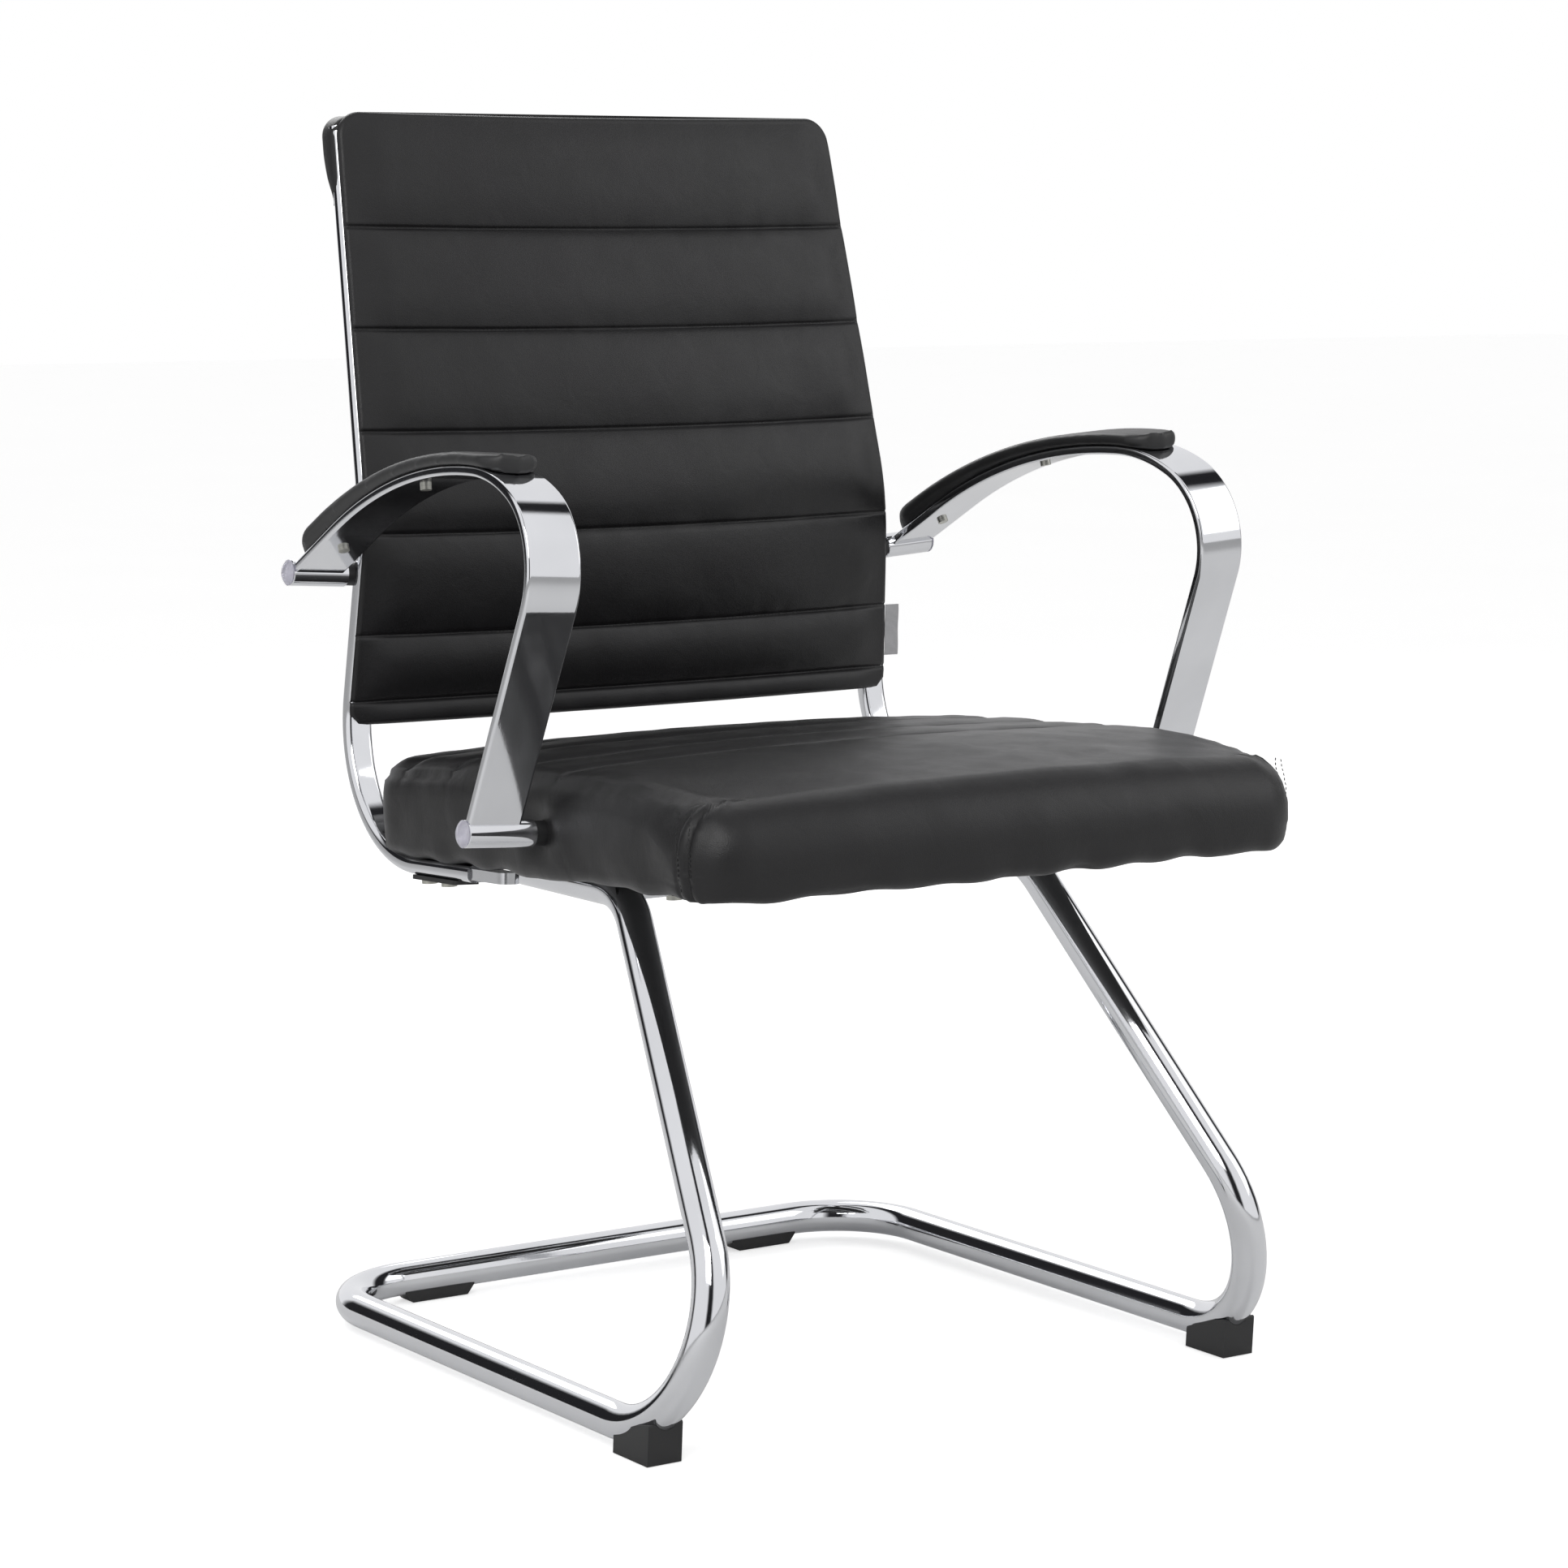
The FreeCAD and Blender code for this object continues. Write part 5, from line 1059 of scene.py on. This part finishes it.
def stacked(name, rings):
    """Closed piece from rings with the same number of corners."""
    spots = [spot for ring in rings for spot in ring]
    first = range(len(rings[0]))
    walls, last = ring_walls(first, len(first), len(rings) - 1)
    piece = mesh_of(name, spots, walls + [tuple(first), tuple(last)])
    face_outwards(piece)
    smooth(piece, 45)
    return piece


def make_rear_cover():
    """Flat rear panel between the rails, and the pocket above it that slips over their ends."""
    rings = []
    steps = 44
    low, high = HEM_Z + 0.002, 0.832
    for k in range(steps + 1):
        z = low + (high - low) * k / steps
        end = min(k, steps - k, 2) / 2
        half = back_half(z) - RAIL_WIDTH / math.cos(RAIL_SPLAY) - 0.0008 - 0.001 * (1 - end)
        puff = 0.0004 * math.sin(math.pi * k / steps)
        rings.append(rear_ring(z, half, -0.0055, 0.0056 + puff - 0.002 * (1 - end), 0.0022))
    panel = stacked("back_rear_panel", rings)
    finish_piece(panel, "black_leatherette", ["back_rear_cover"])

    rings = []
    steps = 40
    low, high = 0.828, BACK_TOP - 0.0035
    for k in range(steps + 1):
        z = low + (high - low) * math.sin(math.pi / 2 * k / steps)
        edge = max(0.0, 1 - (high - z) / 0.016)
        pinch = 0.015 * (1 - math.sqrt(max(1 - edge * edge, 0)))
        mouth = 0.0006 * groove(z - low, 0.002)
        swell = 0.0008 * math.sin(math.pi * k / steps)
        # The leather folds over the rails' outer sides, and over their ends at the top
        half = back_half(z) - 0.001 - pinch + mouth + 0.0022 * soft_step(z, low, 0.850)
        cap = 0.0024 * soft_step(z, 0.8815, 0.8845)
        swell += 0.0060 * soft_step(z, low, 0.868)
        thin = 0.005 * (1 - math.sqrt(max(1 - edge * edge * 0.96, 0)))
        front, back = -0.0050 - cap + thin * 0.3, 0.0084 + swell - thin
        rings.append(rear_ring(z, half, front, back, 0.0052 - thin * 0.5))
    pocket = stacked("back_rear_pocket", rings)
    finish_piece(pocket, "black_leatherette")


def make_tab():
    """Bare woven tab sewn into the side seam, slightly curled."""
    low, tall, out = TAB_LOW, TAB_TALL, TAB_OUT
    columns, rows = 8, 16
    spots = []
    for r in range(rows + 1):
        z = low + tall * r / rows
        inner = back_half(z) - 0.0012
        for c in range(columns + 1):
            x = inner + out * c / columns
            curl = 0.0009 * (c / columns) ** 2 + 0.0003 * math.sin(9 * r / rows)
            spots.append(Vector((x, rail_line(z) - 0.0078 - curl, z)))
    piece = mesh_of("woven_tab", spots, grid_faces(rows + 1, columns + 1))
    apply(piece, "SOLIDIFY", thickness=CLOTH_THICK)
    face_outwards(piece)
    smooth(piece, 50)
    finish_piece(piece, "tab_ribbon", ["side_tab"])


# Stage. Lamps have a name, a place, a size and a power in watts.

WHITE = (1, 1, 1, 1)
LAMPS = [("key", (-2.2, -2.0, 2.6), 1.8, 46), ("fill", (2.6, -1.4, 2.0), 2.2, 15),
         ("rim", (0.6, 2.6, 2.4), 1.8, 26)]
LIT_SPOT = Vector((0, 0, 0.45))
LENS_MM = 99.52
VIEW_SPOT = (-1.7461, -2.5711, 0.8197)
VIEW_TURN = math.radians(-34.114)
VIEW_RISE = math.radians(7.45)


def make_stage():
    """White floor that keeps the soft shadow, even studio light and the camera."""
    deselect()
    bpy.ops.mesh.primitive_plane_add(size=40, location=(0, 0, -0.0005))
    floor = bpy.context.object
    floor.name = "studio_floor"
    material, tree, shader, spot = new_material("studio_floor_paper")
    paper = shades(tree, blotches(tree, spot, 0.5, 2.0), "#F2F2F2", "#F7F7F7")
    fill(tree, shader, {"Base Color": paper, "Roughness": 0.9, "Specular IOR Level": 0.1})
    # The camera sees the paper near white, with the chair's own soft shadow on it
    path = add(tree, "ShaderNodeLightPath")
    lift = sums(tree, "MULTIPLY", path.outputs["Is Camera Ray"], 0.56)
    glow = add(tree, "ShaderNodeEmission", {"Color": WHITE, "Strength": lift})
    both = add(tree, "ShaderNodeAddShader", {0: shader.outputs[0], 1: glow.outputs[0]})
    tree.links.new(both.outputs[0], tree.nodes["Material Output"].inputs["Surface"])
    floor.data.materials.append(material)

    world = bpy.context.scene.world or bpy.data.worlds.new("studio")
    bpy.context.scene.world = world
    world.use_nodes = True
    sky = world.node_tree
    sky.nodes.clear()
    path = add(sky, "ShaderNodeLightPath")
    direction = add(sky, "ShaderNodeTexCoord").outputs["Generated"]
    split = add(sky, "ShaderNodeSeparateXYZ", {"Vector": direction})
    # Dark flags left and right of a pale room give the plating its dark bands
    across = sums(sky, "ARCTAN2", split.outputs["X"], split.outputs["Y"])
    swing = sums(sky, "SINE", sums(sky, "MULTIPLY", across, 3.0))
    share = add(sky, "ShaderNodeMapRange", {"Value": swing, "From Min": -1.0, "From Max": 1.0})
    ramp = add(sky, "ShaderNodeValToRGB", {"Fac": share.outputs["Result"]})
    ramp.color_ramp.elements[0].position = 0.06
    ramp.color_ramp.elements[0].color = (0.02, 0.02, 0.022, 1)
    ramp.color_ramp.elements[1].position = 0.24
    ramp.color_ramp.elements[1].color = (0.95, 0.95, 0.96, 1)
    room = add(sky, "ShaderNodeBackground", {"Color": ramp.outputs["Color"], "Strength": 1.0})
    plain = add(sky, "ShaderNodeBackground", {"Color": WHITE, "Strength": 0.45})
    white = add(sky, "ShaderNodeBackground", {"Color": WHITE, "Strength": 1.0})
    shiny = path.outputs["Is Glossy Ray"]
    glossy = add(sky, "ShaderNodeMixShader", {0: shiny, 1: plain.outputs[0], 2: room.outputs[0]})
    seen = sums(sky, "MAXIMUM", path.outputs["Is Camera Ray"], path.outputs["Is Transmission Ray"])
    final = add(sky, "ShaderNodeMixShader", {0: seen, 1: glossy.outputs[0], 2: white.outputs[0]})
    add(sky, "ShaderNodeOutputWorld", {"Surface": final.outputs[0]})

    for name, spot_at, size, power in LAMPS:
        lamp = bpy.data.lights.new(name, "AREA")
        lamp.energy = power
        lamp.size = size
        holder = bpy.data.objects.new(name, lamp)
        holder.location = spot_at
        aim = LIT_SPOT - Vector(spot_at)
        holder.rotation_euler = aim.to_track_quat("-Z", "Y").to_euler()
        bpy.context.scene.collection.objects.link(holder)

    view = bpy.data.cameras.new("photo_view")
    view.lens = LENS_MM
    view.sensor_width = 36.0
    view.clip_end = 60.0
    camera = bpy.data.objects.new("photo_view", view)
    level = math.cos(VIEW_RISE)
    back = Vector((math.sin(VIEW_TURN) * level, -math.cos(VIEW_TURN) * level, math.sin(VIEW_RISE)))
    camera.location = VIEW_SPOT
    camera.rotation_euler = back.to_track_quat("Z", "Y").to_euler()
    bpy.context.scene.collection.objects.link(camera)
    bpy.context.scene.camera = camera
    bpy.context.scene.view_settings.view_transform = "Standard"


# Add-on

class VisitorChairSettings(bpy.types.PropertyGroup):
    chrome: bpy.props.StringProperty(name="Plating", description="Colour of the bright plating",
                                     default="#D2D3D6")
    leather: bpy.props.StringProperty(name="Leatherette", description="Colour of seat and back",
                                      default="#101011")
    grain: bpy.props.FloatProperty(name="Grain", description="Width of one grain cell of the leatherette",
                                   default=0.0013, min=0.0005, max=0.004, unit="LENGTH")


class VISITORCHAIR_OT_finishes(bpy.types.Operator):
    """Make the chair's materials and give them to the carried-over solids"""
    bl_idname = "visitor_chair.finishes"
    bl_label = "Finishes"

    def execute(self, context):
        make_finishes(context.scene.visitor_chair)
        dress_nodes()
        return {"FINISHED"}


class VISITORCHAIR_OT_sled(bpy.types.Operator):
    """Bend the tube of the sled base"""
    bl_idname = "visitor_chair.sled"
    bl_label = "Sled base"

    def execute(self, context):
        make_sled()
        return {"FINISHED"}


class VISITORCHAIR_OT_rails(bpy.types.Operator):
    """Bend the two rails that carry the back"""
    bl_idname = "visitor_chair.rails"
    bl_label = "Side rails"

    def execute(self, context):
        make_rails()
        return {"FINISHED"}


class VISITORCHAIR_OT_arms(bpy.types.Operator):
    """Bend the arms and turn their bosses and caps"""
    bl_idname = "visitor_chair.arms"
    bl_label = "Arms and bosses"

    def execute(self, context):
        make_bosses(make_arms())
        return {"FINISHED"}


class VISITORCHAIR_OT_pads(bpy.types.Operator):
    """Round the moulded pads of the arms"""
    bl_idname = "visitor_chair.pads"
    bl_label = "Arm pads"

    def execute(self, context):
        make_arm_pads()
        return {"FINISHED"}


class VISITORCHAIR_OT_seat(bpy.types.Operator):
    """Make the seat cushion, its stitches and the dust cloth"""
    bl_idname = "visitor_chair.seat"
    bl_label = "Seat"

    def execute(self, context):
        make_seat()
        return {"FINISHED"}


class VISITORCHAIR_OT_back(bpy.types.Operator):
    """Make the ribbed back, its stitches, rear cover and tab"""
    bl_idname = "visitor_chair.back"
    bl_label = "Back"

    def execute(self, context):
        make_back()
        make_tab()
        return {"FINISHED"}


class VISITORCHAIR_OT_stage(bpy.types.Operator):
    """Set the floor, the light and the camera"""
    bl_idname = "visitor_chair.stage"
    bl_label = "Stage"

    def execute(self, context):
        make_stage()
        return {"FINISHED"}


OPERATORS = (VISITORCHAIR_OT_finishes, VISITORCHAIR_OT_sled, VISITORCHAIR_OT_rails, VISITORCHAIR_OT_arms,
             VISITORCHAIR_OT_pads, VISITORCHAIR_OT_seat, VISITORCHAIR_OT_back, VISITORCHAIR_OT_stage)


class VISITORCHAIR_PT_panel(bpy.types.Panel):
    """Sizes, colours and steps of the visitor chair"""
    bl_idname = "VISITORCHAIR_PT_panel"
    bl_label = "Visitor Chair"
    bl_space_type = "VIEW_3D"
    bl_region_type = "UI"
    bl_category = "Visitor Chair"

    def draw(self, context):
        for name in ("chrome", "leather", "grain"):
            self.layout.prop(context.scene.visitor_chair, name)
        for operator in OPERATORS:
            self.layout.operator(operator.bl_idname)


def register():
    bpy.utils.register_class(VisitorChairSettings)
    for operator in OPERATORS:
        bpy.utils.register_class(operator)
    bpy.utils.register_class(VISITORCHAIR_PT_panel)
    bpy.types.Scene.visitor_chair = bpy.props.PointerProperty(type=VisitorChairSettings)


def unregister():
    del bpy.types.Scene.visitor_chair
    bpy.utils.unregister_class(VISITORCHAIR_PT_panel)
    for operator in reversed(OPERATORS):
        bpy.utils.unregister_class(operator)
    bpy.utils.unregister_class(VisitorChairSettings)


def main():
    register()
    bpy.ops.visitor_chair.finishes()
    bpy.ops.visitor_chair.sled()
    bpy.ops.visitor_chair.rails()
    bpy.ops.visitor_chair.arms()
    bpy.ops.visitor_chair.pads()
    bpy.ops.visitor_chair.seat()
    bpy.ops.visitor_chair.back()
    bpy.ops.visitor_chair.stage()


if __name__ == "__main__":
    main()
